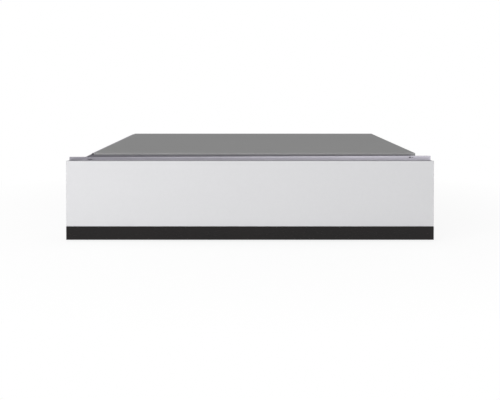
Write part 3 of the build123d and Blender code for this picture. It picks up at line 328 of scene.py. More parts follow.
def finish_piece(name, bm, body, nodes, slot, finishes=(), outward=None, thickness=None, edge=None, rim=0):
    """Makes the mesh work a piece that rides on a body and stands for its nodes.

    Its finishes are named, and where none is given its slot's own finish serves.
    """
    bmesh.ops.remove_doubles(bm, verts=bm.verts, dist=WELD)
    if outward is None:
        bmesh.ops.recalc_face_normals(bm, faces=bm.faces)
    else:
        face_sheets(bm, outward)
    mesh = bpy.data.meshes.new(name)
    bm.to_mesh(mesh)
    bm.free()
    if not mesh.polygons:
        raise RuntimeError(f"{name} has no faces")
    mesh.polygons.foreach_set("use_smooth", [True] * len(mesh.polygons))
    mesh.set_sharp_from_angle(angle=radians(32))
    for finish in finishes or (slot,):
        mesh.materials.append(finish_for(finish))
    piece = add_object(name, mesh)
    if thickness:
        wall = piece.modifiers.new("sheet", "SOLIDIFY")
        wall.thickness, wall.offset, wall.use_even_offset = thickness, -1.0, True
        wall.material_offset_rim = rim
    if edge:
        rounding = piece.modifiers.new("edges", "BEVEL")
        rounding.width, rounding.segments, rounding.limit_method = edge, 2, "ANGLE"
        rounding.angle_limit = radians(50)
    weighing = piece.modifiers.new("normals", "WEIGHTED_NORMAL")
    weighing.keep_sharp = True
    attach(piece, body)
    if nodes:
        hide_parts(*nodes)
    return piece


# Finishes


def feed(tree, socket, value):
    """Gives a node's input a value or a link."""
    if isinstance(value, bpy.types.NodeSocket):
        tree.links.new(value, socket)
    else:
        socket.default_value = value


def add_node(tree, kind, output=0, inputs=None, **settings):
    """Adds a node with its settings and inputs, and returns one of its outputs."""
    made = tree.nodes.new(kind)
    for key, value in settings.items():
        setattr(made, key, value)
    for key, value in (inputs or {}).items():
        feed(tree, made.inputs[key], value)
    return made.outputs[output]


class Finish:
    """A material in the making: its shader and the nodes that feed it."""

    def __init__(self, name, colour, roughness, metallic=0.0, **sockets):
        self.material = bpy.data.materials.new(name)
        self.material.use_nodes = True
        self.tree = self.material.node_tree
        self.shader = self.tree.nodes["Principled BSDF"]
        self.base = tuple(colour[:3])
        self.set("Base Color", (*self.base, 1.0))
        self.set("Roughness", roughness)
        self.set("Metallic", metallic)
        for socket, value in sockets.items():
            self.set(socket.replace("_", " ").title().replace("Ior", "IOR"), value)
        self.normal = None

    def set(self, socket, value):
        """Gives a socket of the shader a value or a link."""
        feed(self.tree, self.shader.inputs[socket], value)

    def node(self, kind, output=0, inputs=None, **settings):
        """Adds a node to the material and returns one of its outputs."""
        return add_node(self.tree, kind, output, inputs, **settings)

    def place(self, scale=(1, 1, 1), turn=(0, 0, 0)):
        """The object's own coordinates, scaled for a pattern."""
        source = self.node("ShaderNodeTexCoord", "Object")
        return self.node("ShaderNodeMapping", inputs={"Vector": source, "Scale": scale, "Rotation": turn})

    def noise(self, place, scale, detail=3.0, roughness=0.55):
        """Soft random variation from 0 to 1."""
        return self.node(
            "ShaderNodeTexNoise",
            inputs={"Vector": place, "Scale": scale, "Detail": detail, "Roughness": roughness},
        )

    def remap(self, value, low, high, start=0.3, stop=0.7):
        """A value whose range from start to stop becomes low to high."""
        return self.node(
            "ShaderNodeMapRange",
            inputs={"Value": value, "From Min": start, "From Max": stop, "To Min": low, "To Max": high},
        )

    def tint(self, factor, low, high):
        """Makes the base colour darker or lighter by a factor from 0 to 1, on top of earlier tints."""
        amount = self.remap(factor, low, high)
        grey = self.node("ShaderNodeCombineXYZ", inputs={0: amount, 1: amount, 2: amount})
        self.base = self.node("ShaderNodeVectorMath", operation="MULTIPLY", inputs={0: self.base, 1: grey})
        self.set("Base Color", self.base)

    def roughen(self, value, low, high, *span):
        """Lets the roughness run from low to high with a value."""
        self.set("Roughness", self.remap(value, low, high, *span))

    def bump(self, height, depth, strength):
        """Adds relief of the given depth in metres."""
        inputs = {"Height": height, "Distance": depth, "Strength": strength}
        if self.normal is not None:
            inputs["Normal"] = self.normal
        self.normal = self.node("ShaderNodeBump", inputs=inputs)
        self.set("Normal", self.normal)


def brushed_steel(name, colour, roughness, along, contrast=0.04, coarse=24.0, edge=1.0, metallic=1.0):
    """Sheet brushed along one axis: long fine streaks and broad soft bands."""
    made = Finish(name, colour, roughness, metallic, specular_tint=(edge, edge, edge, 1))
    stretch = [1.0, 1.0, 1.0]
    stretch["xyz".index(along)] = 0.01
    streaks = made.noise(made.place(stretch), 2200.0, 3.0, 0.6)
    bands = made.noise(made.place([s if s == 1.0 else 0.06 for s in stretch]), coarse, 3.0)
    made.tint(streaks, 1 - contrast, 1 + contrast)
    made.tint(bands, 1 - contrast / 2, 1 + contrast / 2)
    made.roughen(streaks, roughness - 0.05, roughness + 0.07)
    made.bump(streaks, 0.000006, 0.35)
    return made.material


def zinc_sheet(name, colour, roughness=0.38, edge=0.3):
    """Hot-dip zinc: faint crystals, rolled streaks and slight clouding."""
    made = Finish(name, colour, roughness, 1.0, specular_tint=(edge, edge, edge, 1))
    place = made.place()
    crystal = made.node(
        "ShaderNodeTexVoronoi", "Color", {"Vector": place, "Scale": 95.0, "Randomness": 1.0}
    )
    shade = made.node("ShaderNodeSeparateColor", 0, {"Color": crystal})
    clouds = made.noise(place, 9.0, 4.0)
    made.tint(shade, 0.98, 1.02)
    made.tint(clouds, 0.97, 1.03)
    made.roughen(shade, roughness - 0.02, roughness + 0.03, 0.0, 1.0)
    made.bump(made.noise(place, 1400.0, 2.0), 0.00001, 0.3)
    return made.material


def plated_steel(name, colour, roughness=0.28):
    """Bright plating with fine drawn lines and handling marks."""
    made = Finish(name, colour, roughness, 1.0)
    lines = made.noise(made.place((1.0, 0.03, 1.0)), 1500.0, 2.0)
    marks = made.noise(made.place(), 160.0, 5.0, 0.65)
    made.tint(marks, 0.93, 1.06)
    made.roughen(marks, roughness - 0.06, roughness + 0.1)
    made.bump(lines, 0.000008, 0.4)
    return made.material


def moulded(name, colour, roughness=0.42, grain=700.0, depth=0.00002, **sockets):
    """Moulded plastic or rubber with a fine sparked grain."""
    made = Finish(name, colour, roughness, **sockets)
    place = made.place()
    texture = made.noise(place, grain, 3.0, 0.6)
    handling = made.noise(place, 45.0, 4.0)
    made.tint(handling, 0.93, 1.07)
    made.roughen(handling, roughness - 0.05, roughness + 0.07)
    made.bump(texture, depth, 0.5)
    return made.material


def coated_glass(name, colour):
    """Glass coated on its back: an even colour under a clear, faintly rippled face."""
    made = Finish(
        name, colour, 0.32, specular_ior_level=0.25, coat_weight=1.0, coat_roughness=0.03, coat_ior=1.5
    )
    place = made.place()
    coating = made.noise(place, 240.0, 5.0, 0.6)
    haze = made.noise(made.place((1.0, 1.0, 1.6)), 5.0, 2.0)
    made.tint(coating, 0.992, 1.008)
    made.tint(haze, 0.994, 1.006)
    made.roughen(coating, 0.28, 0.36)
    ripple = made.noise(place, 30.0, 2.0)
    made.bump(ripple, 0.000004, 0.2)
    return made.material


def ground_glass(name, colour):
    """The pane's ground edge: matt, slightly green, with fine grinding lines."""
    made = Finish(name, colour, 0.45)
    lines = made.noise(made.place((0.05, 1.0, 0.05)), 1800.0, 2.0)
    made.tint(lines, 0.9, 1.1)
    made.roughen(lines, 0.38, 0.55)
    made.bump(lines, 0.00001, 0.4)
    return made.material


def dark_profile(name, colour):
    """Anodised profile under clear lacquer, drawn along its length."""
    made = Finish(name, colour, 0.16, specular_ior_level=0.25)
    lines = made.noise(made.place((0.02, 1.0, 1.0)), 1100.0, 3.0)
    haze = made.noise(made.place(), 12.0, 3.0)
    made.tint(lines, 0.9, 1.1)
    made.tint(haze, 0.94, 1.06)
    made.roughen(haze, 0.13, 0.2)
    made.bump(lines, 0.000004, 0.25)
    return made.material


def mineral_board(name, colour):
    """Pressed fibre board with matted strands and pores."""
    made = Finish(name, colour, 0.9)
    strands = made.noise(made.place((1.0, 0.15, 1.0)), 500.0, 6.0, 0.75)
    clumps = made.noise(made.place(), 60.0, 5.0, 0.6)
    made.tint(strands, 0.8, 1.15)
    made.tint(clumps, 0.85, 1.1)
    made.bump(strands, 0.0004, 0.7)
    return made.material


def clear_glass(name):
    """Toughened plate glass with a slight green body."""
    made = Finish(
        name, (0.86, 0.94, 0.9), 0.03, transmission_weight=1.0, ior=1.5, specular_ior_level=0.5
    )
    smears = made.noise(made.place(), 18.0, 5.0, 0.6)
    made.roughen(smears, 0.02, 0.07)
    made.bump(smears, 0.000004, 0.15)
    return made.material


def braided_sleeve(name, colour):
    """Woven glass-fibre sleeve."""
    made = Finish(name, colour, 0.75, sheen_weight=0.25, sheen_roughness=0.5)
    place = made.place((1.0, 1.0, 1.0), (radians(45), 0, radians(45)))
    weave = made.node(
        "ShaderNodeTexWave", "Fac", {"Vector": place, "Scale": 420.0, "Distortion": 0.6, "Detail": 1.0}
    )
    cross = made.node(
        "ShaderNodeTexWave", "Fac",
        {"Vector": made.place((1.0, 1.0, 1.0), (radians(-45), 0, radians(45))), "Scale": 420.0},
    )
    both = made.node("ShaderNodeMath", operation="MULTIPLY", inputs={0: weave, 1: cross})
    made.tint(both, 0.75, 1.2)
    made.bump(both, 0.0002, 0.6)
    return made.material


def oxidised_tube(name):
    """Heater sheath: dark, straw to blue where it has been hot."""
    made = Finish(name, (0.16, 0.14, 0.13), 0.42, 1.0)
    heat = made.noise(made.place(), 35.0, 4.0)
    ramp = made.tree.nodes.new("ShaderNodeValToRGB")
    ramp.color_ramp.elements[0].color = (0.09, 0.085, 0.1, 1)
    ramp.color_ramp.elements[1].color = (0.24, 0.19, 0.14, 1)
    made.tree.links.new(heat, ramp.inputs[0])
    made.set("Base Color", ramp.outputs[0])
    made.roughen(heat, 0.36, 0.52)
    made.bump(made.noise(made.place(), 900.0), 0.00002, 0.4)
    return made.material


def glazed_ceramic(name):
    """Pale ceramic with a thin glaze and dark specks."""
    made = Finish(name, (0.72, 0.69, 0.62), 0.35, coat_weight=0.4, coat_roughness=0.1)
    specks = made.noise(made.place(), 1200.0, 2.0)
    made.tint(specks, 0.85, 1.05)
    made.bump(specks, 0.00002, 0.4)
    return made.material


def lamp_lens(name, colour):
    """Red lens with fine flutes."""
    made = Finish(name, colour, 0.12, transmission_weight=0.35, ior=1.5, coat_weight=0.3, coat_roughness=0.05)
    flutes = made.node(
        "ShaderNodeTexWave", "Fac", {"Vector": made.place(), "Scale": 320.0}, wave_type="BANDS"
    )
    made.tint(flutes, 0.9, 1.1)
    made.bump(flutes, 0.00005, 0.4)
    return made.material


def shade_of(colour, share):
    """A darker or lighter shade of a colour."""
    return [part * share for part in colour]


def make_finishes(colours):
    """Every finish of the drawer, by its slot."""
    plastic = colours.plastic
    return {
        "coated_glass": coated_glass("Coated glass", colours.glass),
        "glass_edge": ground_glass("Ground glass edge", colours.glass_edge),
        "dark_strip": dark_profile("Dark strip", colours.strip),
        "cover_steel": brushed_steel("Cover steel", colours.cover, 0.42, "x", 0.035, 40.0, 0.2),
        # A lighter copy of the cover steel without metal reflection: painted light that evens the front lip's
        # face with the plate.
        "lip_steel_painted_light": brushed_steel(
            "Lip steel with painted light", shade_of(colours.cover, 1.08), 0.5, "x", 0.035, 40.0, 0.2, metallic=0.0
        ),
        "zinc_steel": zinc_sheet("Zinc sheet", colours.zinc, 0.52),
        # A darker copy of the zinc sheet: painted shade for the frame's ledge and the frame's cut edges.
        "painted_shade_zinc": zinc_sheet("Zinc sheet with painted shade", shade_of(colours.zinc, 0.52), 0.5, 0.1),
        "panel_steel": zinc_sheet("Panel zinc sheet", shade_of(colours.zinc, 0.54), 0.44),
        "tray_steel": brushed_steel("Tray steel", colours.tray, 0.3, "x", 0.05, 30.0),
        "runner_steel": plated_steel("Runner plating", colours.runner),
        "ball_steel": plated_steel("Ball steel", (0.66, 0.66, 0.67), 0.12),
        "screw_steel": plated_steel("Screw plating", (0.58, 0.58, 0.6), 0.26),
        "shaft_steel": plated_steel("Shaft steel", (0.5, 0.5, 0.5), 0.25),
        "earth_brass": plated_steel("Brass", (0.74, 0.53, 0.2), 0.25),
        "seal_rubber": moulded("Stop rubber", colours.rubber, 0.62, 500.0),
        "pale_seal": moulded("Seal silicone", colours.seal, 0.6, 500.0),
        "silicone": moulded("Silicone", colours.silicone, 0.55, 900.0, 0.00001, sheen_weight=0.15),
        "base_glass": clear_glass("Plate glass"),
        "board": mineral_board("Mineral board", colours.board),
        "motor_steel": zinc_sheet("Motor steel", (0.42, 0.42, 0.43), 0.4),
        "fan_metal": plated_steel("Fan aluminium", (0.62, 0.62, 0.63), 0.36),
        "heater_metal": oxidised_tube("Heater sheath"),
        "bush_ceramic": glazed_ceramic("Ceramic"),
        "cutout_plastic": moulded("Brown resin", (0.09, 0.035, 0.02), 0.35, 400.0),
        "loom_sleeve": braided_sleeve("Loom sleeve", (0.3, 0.29, 0.27)),
        "box_plastic": moulded("Box plastic", colours.housing, 0.5),
        "latch_plastic": moulded("Latch plastic", shade_of(colours.housing, 0.5), 0.38),
        "fascia_gloss": moulded(
            "Ledge lacquer", plastic, 0.16, 200.0, 0.000004, coat_weight=0.6, coat_roughness=0.05
        ),
        "knob_plastic": moulded("Knob plastic", plastic, 0.34, 1100.0),
        "lamp_red": lamp_lens("Lamp lens", colours.lamp),
        "marking": moulded("Marking ink", (0.7, 0.7, 0.68), 0.5, 1500.0, 0.000004),
    }


def finish_for(slot):
    """A finish by its slot, made with all the others the first time."""
    names = bpy.context.scene.get("warming_drawer_finishes")
    if names is None:
        made = make_finishes(bpy.context.scene.warming_drawer_colours)
        names = {key: item.name for key, item in made.items()}
        bpy.context.scene["warming_drawer_finishes"] = names
    return bpy.data.materials[names[slot]]


def dress_node(name):
    """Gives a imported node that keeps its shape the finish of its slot."""
    node = frame["nodes"][name]
    item = finish_for(SLOT_OF[name])
    if not node.material_slots:
        raise RuntimeError(f"{name} has no material slot")
    for slot in node.material_slots:
        slot.material = item


# Pieces


class PieceOperator(bpy.types.Operator):
    """Builds pieces of the drawer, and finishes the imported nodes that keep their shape."""

    bl_options = {"REGISTER", "UNDO"}
    kept = ()

    def execute(self, context):
        """Builds this operator's pieces, or raises an error."""
        self.build(context.scene.warming_drawer_sizes)
        for name in self.kept:
            dress_node(name)
        return {"FINISHED"}

    def build(self, sizes):
        """Models the new pieces, where there are any."""


class WARMING_DRAWER_OT_front_panel(PieceOperator):
    """Build the glass pane, the dark strip and the folded pan behind them"""

    bl_idname = "warming_drawer.front_panel"
    bl_label = "Front Panel"
    kept = ("front_backplate",)

    def build(self, sizes):
        low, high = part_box("front_glass")
        bm = bmesh.new()
        add_block(bm, low, high)
        ease(bm, edges_where(bm, lambda co: co.y < low.y + NEAR), sizes.glass_edge, 3)
        bm.normal_update()
        for face in bm.faces:
            face.material_index = 0 if abs(face.normal.y) > 0.9 else 1
        finishes = ("coated_glass", "glass_edge")
        finish_piece("glass_pane", bm, "drawer", ["front_glass"], "coated_glass", finishes)

        low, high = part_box("front_strip")
        bm = bmesh.new()
        add_block(bm, low, high)
        ease(bm, edges_where(bm, lambda co: co.y < low.y + NEAR), sizes.strip_edge, 4)
        finish_piece("foot_strip", bm, "drawer", ["front_strip"], "dark_strip")

        low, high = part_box("front_carrier")
        bm = bmesh.new()
        faces = add_block(bm, low, high)
        bm.normal_update()
        back = [face for face in faces if face.normal.y > 0.9]
        bmesh.ops.delete(bm, geom=back, context="FACES")
        ease(bm, [e for e in bm.edges if not e.is_boundary], sizes.bend, 3)
        finish_piece(
            "panel_pan", bm, "drawer", ["front_carrier"], "panel_steel", outward=-Y, thickness=sizes.sheet
        )


class WARMING_DRAWER_OT_top_cover(PieceOperator):
    """Build the top cover with its turned-down front, right and rear lips"""

    bl_idname = "warming_drawer.top_cover"
    bl_label = "Top Cover"

    def build(self, sizes):
        low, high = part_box("top_cover")
        lip_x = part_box("side_wall_right")[1].x + sizes.cover_gap
        lip_y = high.y - sizes.cover_lip_end
        lip_z = high.z - sizes.cover_lip
        ledge_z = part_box("frame_top_rail")[1].z - sizes.ledge_drop
        bm = bmesh.new()
        add_sheet(bm, Vector((low.x, low.y, high.z)), X * (high.x - low.x), Y * (high.y - low.y))
        score(bm, X, [lip_x])
        score(bm, Y, [lip_y])
        extrude_edges(bm, edges_where(bm, lambda co: co.y < low.y + NEAR), Z * (ledge_z - high.z))
        side = edges_where(
            bm, lambda co: co.x > high.x - NEAR and co.y < lip_y + NEAR and co.z > high.z - NEAR
        )
        extrude_edges(bm, side, Z * (ledge_z - high.z))
        bmesh.ops.remove_doubles(bm, verts=bm.verts, dist=WELD)
        lower = edges_where(bm, lambda co: co.x > lip_x - NEAR and co.z < ledge_z + NEAR)
        extrude_edges(bm, lower, Z * (lip_z - ledge_z))
        ease(bm, folds(bm), sizes.tight_bend, 3)
        bm.normal_update()
        for face in bm.faces:
            # Faces that look forwards take the lighter lip steel: painted light on the front lip.
            face.material_index = 1 if abs(face.normal.y) > 0.95 else 0
        finishes = ("cover_steel", "lip_steel_painted_light")
        finish_piece(
            "cover_sheet", bm, "housing", ["top_cover"], "cover_steel", finishes,
            outward=Z, thickness=sizes.cover_sheet,
        )

        bm = bmesh.new()
        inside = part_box("base_panel")[1]
        left, right = low.x + sizes.sheet, inside.x - 2 * sizes.sheet
        inner_z = high.z - sizes.cover_sheet
        add_sheet(bm, Vector((left, inside.y, low.z)), X * (right - left), Z * (inner_z - low.z))
        finish_piece(
            "cover_rear_lip", bm, "housing", [], "cover_steel", finishes, outward=Y, thickness=sizes.sheet
        )


class WARMING_DRAWER_OT_front_frame(PieceOperator):
    """Build the front frame's top rail and the seal round the opening"""

    bl_idname = "warming_drawer.front_frame"
    bl_label = "Front Frame and Seal"
    kept = ("frame_bottom_rail", "frame_wing_left", "frame_wing_right")

    def build(self, sizes):
        low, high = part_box("frame_top_rail")
        case_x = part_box("side_wall_right")[1].x
        mark_x = case_x - sizes.mark_side
        bm = bmesh.new()
        fall, rise = -sizes.frame_fall, sizes.frame_rise
        parts = (
            (low.x, -case_x, fall, fall),
            (-case_x, case_x, -sizes.ledge_drop, rise),
            (case_x, high.x, rise, rise),
        )
        for start, end, *shifts in parts:
            face = add_sheet(bm, Vector((start, low.y, low.z)), X * (end - start), Z * (high.z - low.z))
            for vert in face.verts:
                if vert.co.z > high.z - NEAR:
                    vert.co.z += shifts[vert.co.x > start + NEAR]
        hole_z = high.z - sizes.hole_drop
        cut_slots(bm, X, Z, [(mark_x, hole_z)], [2 * sizes.hole_radius] * 2)
        cut_slots(bm, X, Z, [(mark_x + sizes.nick_gap, hole_z)], sizes.nick)
        cut_slots(bm, X, Z, [(-mark_x, high.z - sizes.slot_drop)], sizes.frame_slot)
        corner = Vector((sizes.sheet / 2 - case_x, low.y + sizes.sheet, high.z - sizes.ledge_drop))
        ledge = add_sheet(bm, corner, X * (case_x - corner.x), Y * (high.y - corner.y))
        # The ledge takes the darker zinc copy: painted shade in the channel behind the frame's upper edge.
        ledge.material_index = 1
        # The rim offset gives the sheet's cut edges the darker zinc copy too: painted shade along the frame's
        # upper edge.
        finish_piece(
            "top_rail", bm, "housing", ["frame_top_rail"], "zinc_steel", ("zinc_steel", "painted_shade_zinc"),
            outward=Z - Y, thickness=sizes.sheet, rim=1,
        )

        low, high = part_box("frame_gasket")
        bm = bmesh.new()
        face = add_sheet(bm, Vector((low.x, high.y, low.z)), X * (high.x - low.x), Z * (high.z - low.z))
        bmesh.ops.inset_region(
            bm, faces=[face], thickness=sizes.seal_width, use_boundary=True, use_even_offset=True
        )
        bmesh.ops.delete(bm, geom=[face], context="FACES")
        made = bmesh.ops.extrude_face_region(bm, geom=list(bm.faces))["geom"]
        front = [item for item in made if isinstance(item, bmesh.types.BMVert)]
        bmesh.ops.translate(bm, verts=front, vec=Y * (low.y - high.y))
        ring = edges_where(bm, lambda co: co.y < low.y + NEAR)
        ease(bm, [e for e in ring if e.calc_face_angle(0) > 1.0], sizes.seal_round, 4)
        finish_piece("opening_seal", bm, "housing", ["frame_gasket"], "seal_rubber", ("pale_seal",))


class WARMING_DRAWER_OT_case(PieceOperator):
    """Build the side walls with their air slots, and finish the rest of the case"""

    bl_idname = "warming_drawer.case"
    bl_label = "Case"
    kept = ("base_panel", "rear_panel", "case_rivets", "rear_screws")

    def build(self, sizes):
        for side, turn in (("left", -1), ("right", 1)):
            low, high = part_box(f"side_wall_{side}")
            outer = high.x if turn > 0 else low.x
            wall_top = high.z - sizes.sheet
            fold_start, fold_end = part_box("frame_top_rail")[1].y, high.y - 2 * sizes.sheet
            front_top = high.z - (sizes.frame_fall if turn < 0 else sizes.ledge_drop + sizes.sheet)
            bm = bmesh.new()
            add_sheet(bm, Vector((outer, low.y, low.z)), Y * (high.y - low.y), Z * (wall_top - low.z))
            score(bm, Y, [fold_start, fold_end])
            score(bm, Z, [front_top])
            start, pitch = sizes.vent_start, sizes.vent_pitch
            places = [
                (high.y - start[0] + column * pitch[0], high.z - start[1] - row * pitch[1])
                for column in range(3)
                for row in range(4)
            ]
            cut_slots(bm, Y, Z, places, sizes.vent)
            top = edges_where(
                bm, lambda co: co.z > wall_top - NEAR and fold_start - NEAR < co.y < fold_end + NEAR
            )
            top = extrude_edges(bm, top, Z * sizes.sheet)
            top = [e for e in top if all(v.co.z > high.z - NEAR for v in e.verts)]
            extrude_edges(bm, top, X * (-turn * sizes.ledge_fold))
            fold = edges_where(bm, lambda co: co.z > high.z - NEAR and abs(co.x - outer) < NEAR)
            ease(bm, [e for e in fold if not e.is_boundary], sizes.bend, 4)
            middles = ((face, face.calc_center_median()) for face in bm.faces)
            front = [face for face, middle in middles if middle.y < fold_start and middle.z > front_top]
            bmesh.ops.delete(bm, geom=front, context="FACES")
            finish_piece(
                f"side_sheet_{side}", bm, "housing", [f"side_wall_{side}"], "zinc_steel",
                outward=X * turn, thickness=sizes.sheet,
            )


class WARMING_DRAWER_OT_runners(PieceOperator):
    """Finish the runners, their ball cages and their balls"""

    bl_idname = "warming_drawer.runners"
    bl_label = "Runners"
    kept = (
        *(f"runner_{member}_{side}" for side in ("left", "right") for member in ("outer", "middle", "inner")),
        "outer_ball_cages",
        "inner_ball_cages",
    )


class WARMING_DRAWER_OT_tray(PieceOperator):
    """Build the tray's sides with their rolled rims, and finish its sheets"""

    bl_idname = "warming_drawer.tray"
    bl_label = "Tray"
    kept = (
        "drawer_screws", "underpan", "floor_insulation", "tray_floor", "control_partition", "tray_rear_wall",
        "duct_cover",
    )

    def build(self, sizes):
        flange_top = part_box("control_fascia")[0].z
        for side, turn in (("left", -1), ("right", 1)):
            low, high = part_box(f"tray_side_{side}")
            rim_out = high.x if turn > 0 else low.x
            wall = rim_out - turn * sizes.rim
            wall_back = high.y - sizes.sheet
            bm = bmesh.new()
            add_sheet(bm, Vector((wall, low.y, low.z)), Y * (high.y - low.y), Z * (high.z - low.z))
            score(bm, Y, [wall_back])
            top = edges_where(bm, lambda co: co.z > high.z - NEAR)
            top = extrude_edges(bm, top, X * (rim_out - wall))
            top = [e for e in top if all(abs(v.co.x - rim_out) < NEAR for v in e.verts)]
            extrude_edges(bm, top, Z * -sizes.rim_lip)
            ease(bm, folds(bm), sizes.tray_bend, 5)
            past = [
                face for face in bm.faces
                if face.calc_center_median().y > wall_back and abs(face.calc_center_median().x - wall) < NEAR
            ]
            bmesh.ops.delete(bm, geom=past, context="FACES")
            flange = Vector((wall, low.y + sizes.sheet, low.z))
            add_sheet(bm, flange, X * (-turn * sizes.tray_flange), Z * (flange_top - low.z))
            finish_piece(
                f"tray_wall_{side}", bm, "drawer", [f"tray_side_{side}"], "tray_steel",
                outward=Y - X * turn, thickness=sizes.sheet,
            )


class WARMING_DRAWER_OT_air_grille(PieceOperator):
    """Build the slotted plate in front of the fan"""

    bl_idname = "warming_drawer.air_grille"
    bl_label = "Air Grille"

    def build(self, sizes):
        low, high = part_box("air_grille")
        middle = (low.z + high.z) / 2
        bm = bmesh.new()
        add_sheet(bm, Vector((low.x, low.y, low.z)), X * (high.x - low.x), Z * (high.z - low.z))
        ease(bm, bm.verts, sizes.grille_corner, 6, "VERTICES")
        along, up = sizes.grille_pitch
        places = [(turn * along / 2, middle + row * up) for row in range(-3, 4) for turn in (-1, 1)]
        cut_slots(bm, X, Z, places, sizes.grille_slot)
        finish_piece(
            "slotted_grille", bm, "drawer", ["air_grille"], "tray_steel",
            outward=-Y, thickness=high.y - low.y, edge=sizes.grille_edge,
        )


class WARMING_DRAWER_OT_tray_base(PieceOperator):
    """Build the silicone mat with its moulded dots, and finish the glass plate under it"""

    bl_idname = "warming_drawer.tray_base"
    bl_label = "Glass Plate and Mat"
    kept = ("glass_base", "glass_pads")

    def build(self, sizes):
        low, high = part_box("anti_slip_mat")
        dot_radius, dot_height = sizes.mat_dot
        top = high.z - dot_height
        bm = bmesh.new()
        add_block(bm, low, (high.x, high.y, top))
        ease(bm, edges_along(bm, Z), sizes.mat_corner, 6)
        ease(bm, edges_where(bm, lambda co: co.z > top - NEAR), sizes.mat_edge, 2)
        columns = int((high.x - low.x - 2 * sizes.mat_corner) / sizes.mat_pitch)
        rows = int((high.y - low.y - 2 * sizes.mat_corner) / sizes.mat_pitch)
        for column in range(columns + 1):
            for row in range(rows + 1):
                x = (low.x + high.x) / 2 + (column - columns / 2) * sizes.mat_pitch
                y = (low.y + high.y) / 2 + (row - rows / 2) * sizes.mat_pitch
                root = top - dot_height / 4
                add_rod(bm, (x, y, root), (x, y, high.z), dot_radius, 8, dot_radius * 0.55)
        finish_piece("dotted_mat", bm, "drawer", ["anti_slip_mat"], "silicone")


class WARMING_DRAWER_OT_controls(PieceOperator):
    """Build the ribbed knob and the dial's numbers, and finish the switch, lamp and ledge"""

    bl_idname = "warming_drawer.controls"
    bl_label = "Controls"
    kept = (
        "control_fascia", "thermostat_body", "thermostat_shaft", "switch_body", "switch_rocker", "pilot_lens",
    )

    def build(self, sizes):
        low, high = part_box("temperature_knob")
        centre = Vector(((low.x + high.x) / 2, (low.y + high.y) / 2, 0))
        radius = (high.x - low.x) / 2
        skirt_top = low.z + sizes.knob_skirt
        bm = bmesh.new()
        segments = sizes.knob_ribs * 4
        verts = add_rod(
            bm, centre + Z * low.z, centre + Z * skirt_top, radius, segments, radius - sizes.knob_taper
        )
        groove = [
            v for v in verts
            if round(((v.co - centre).to_2d().angle_signed(Vector((1, 0))) / (2 * pi)) * segments) % 4 == 0
        ]
        for vert in groove:
            flat = (vert.co - centre).to_2d() * (1 - sizes.knob_groove / radius)
            vert.co = Vector((centre.x + flat.x, centre.y + flat.y, vert.co.z))
        ease(bm, edges_where(bm, lambda co: co.z > skirt_top - NEAR), sizes.knob_rounds[0], 3)
        half, sink = Vector((*sizes.knob_grip, 0)) / 2, 0.5 * MM
        grip = add_block(bm, centre - half + Z * (skirt_top - sink), centre + half + Z * high.z)
        upright = [e for f in grip for e in f.edges if abs(e.verts[0].co.z - e.verts[1].co.z) > MM]
        ease(bm, dict.fromkeys(upright), sizes.grip_corner, 4)
        ease(bm, edges_where(bm, lambda co: co.z > high.z - NEAR), sizes.knob_rounds[1], 3)
        finish_piece("ribbed_knob", bm, "knob", ["temperature_knob"], "knob_plastic")

        bm = bmesh.new()
        (width, line), depth = sizes.pointer, 0.4 * MM
        tip = centre - X * (width / 2) - Y * sizes.pointer_reach + Z * (high.z - depth)
        add_block(bm, tip, (tip.x + width, tip.y + line, high.z - NEAR))
        finish_piece("knob_pointer", bm, "knob", [], "knob_plastic", ("marking",))

        ledge_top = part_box("control_fascia")[1].z
        first, step = radians(-160), radians(-40)
        for index, label in enumerate(("30", "40", "50", "60", "70", "80")):
            angle = first + index * step
            spot = centre + Vector((cos(angle), sin(angle), 0)) * (radius + sizes.dial_gap)
            add_text(f"dial_{label}", label, spot + Z * ledge_top, sizes.dial_text, "drawer")


def add_text(name, words, spot, height, body):
    """Lays flat raised text on an upward face."""
    curve = bpy.data.curves.new(name, "FONT")
    print_depth = 0.03 * MM
    curve.body, curve.size, curve.extrude = words, height, print_depth
    curve.align_x, curve.align_y = "CENTER", "CENTER"
    holder = add_object(name + "_outline", curve)
    mesh = bpy.data.meshes.new_from_object(holder)
    bpy.data.objects.remove(holder)
    mesh.transform(Matrix.Translation(spot))
    mesh.materials.clear()
    mesh.materials.append(finish_for("marking"))
    piece = add_object(name, mesh)
    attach(piece, body)


class WARMING_DRAWER_OT_fan_and_heater(PieceOperator):
    """Finish the fan, the heater, the cut-out and the wiring"""

    bl_idname = "warming_drawer.fan_and_heater"
    bl_label = "Fan and Heater"
    kept = (
        "fan_bulkhead", "fan_motor", "fan_shaft", "fan_impeller", "heater_ring", "heater_insulators",
        "thermal_cutout", "wiring_loom",
    )


class WARMING_DRAWER_OT_latch(PieceOperator):
    """Build the latch's coil spring, and finish the latch and the stops"""

    bl_idname = "warming_drawer.latch"
    bl_label = "Latch and Stops"
    kept = ("latch_body", "latch_plunger", "latch_striker", "bump_stops")

    def build(self, sizes):
        low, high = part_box("latch_spring")
        centre = (low + high) / 2
        wire = sizes.spring_wire
        coil = (high.x - low.x) / 2 - wire
        steps = 20 * sizes.spring_turns
        pitch = (high.y - low.y - 2 * wire) / steps
        bm = bmesh.new()
        matrix = Matrix.Translation((centre.x + coil, low.y + wire, centre.z))
        ring = bmesh.ops.create_circle(bm, cap_ends=False, radius=wire, segments=8, matrix=matrix)
        bmesh.ops.spin(
            bm, geom=ring["verts"] + list(bm.edges), cent=(centre.x, 0, centre.z), axis=Y, dvec=Y * pitch,
            angle=2 * pi * sizes.spring_turns, steps=steps, use_duplicate=False,
        )
        bmesh.ops.holes_fill(bm, edges=[e for e in bm.edges if e.is_boundary], sides=8)
        spring = finish_piece("coil_spring", bm, "housing", ["latch_spring"], "shaft_steel")
        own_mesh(spring)


class WARMING_DRAWER_OT_supply_inlet(PieceOperator):
    """Finish the supply box, its bush and the earth screw"""

    bl_idname = "warming_drawer.supply_inlet"
    bl_label = "Supply Inlet"
    kept = ("terminal_box", "cable_bush", "earth_screw")


# Studio


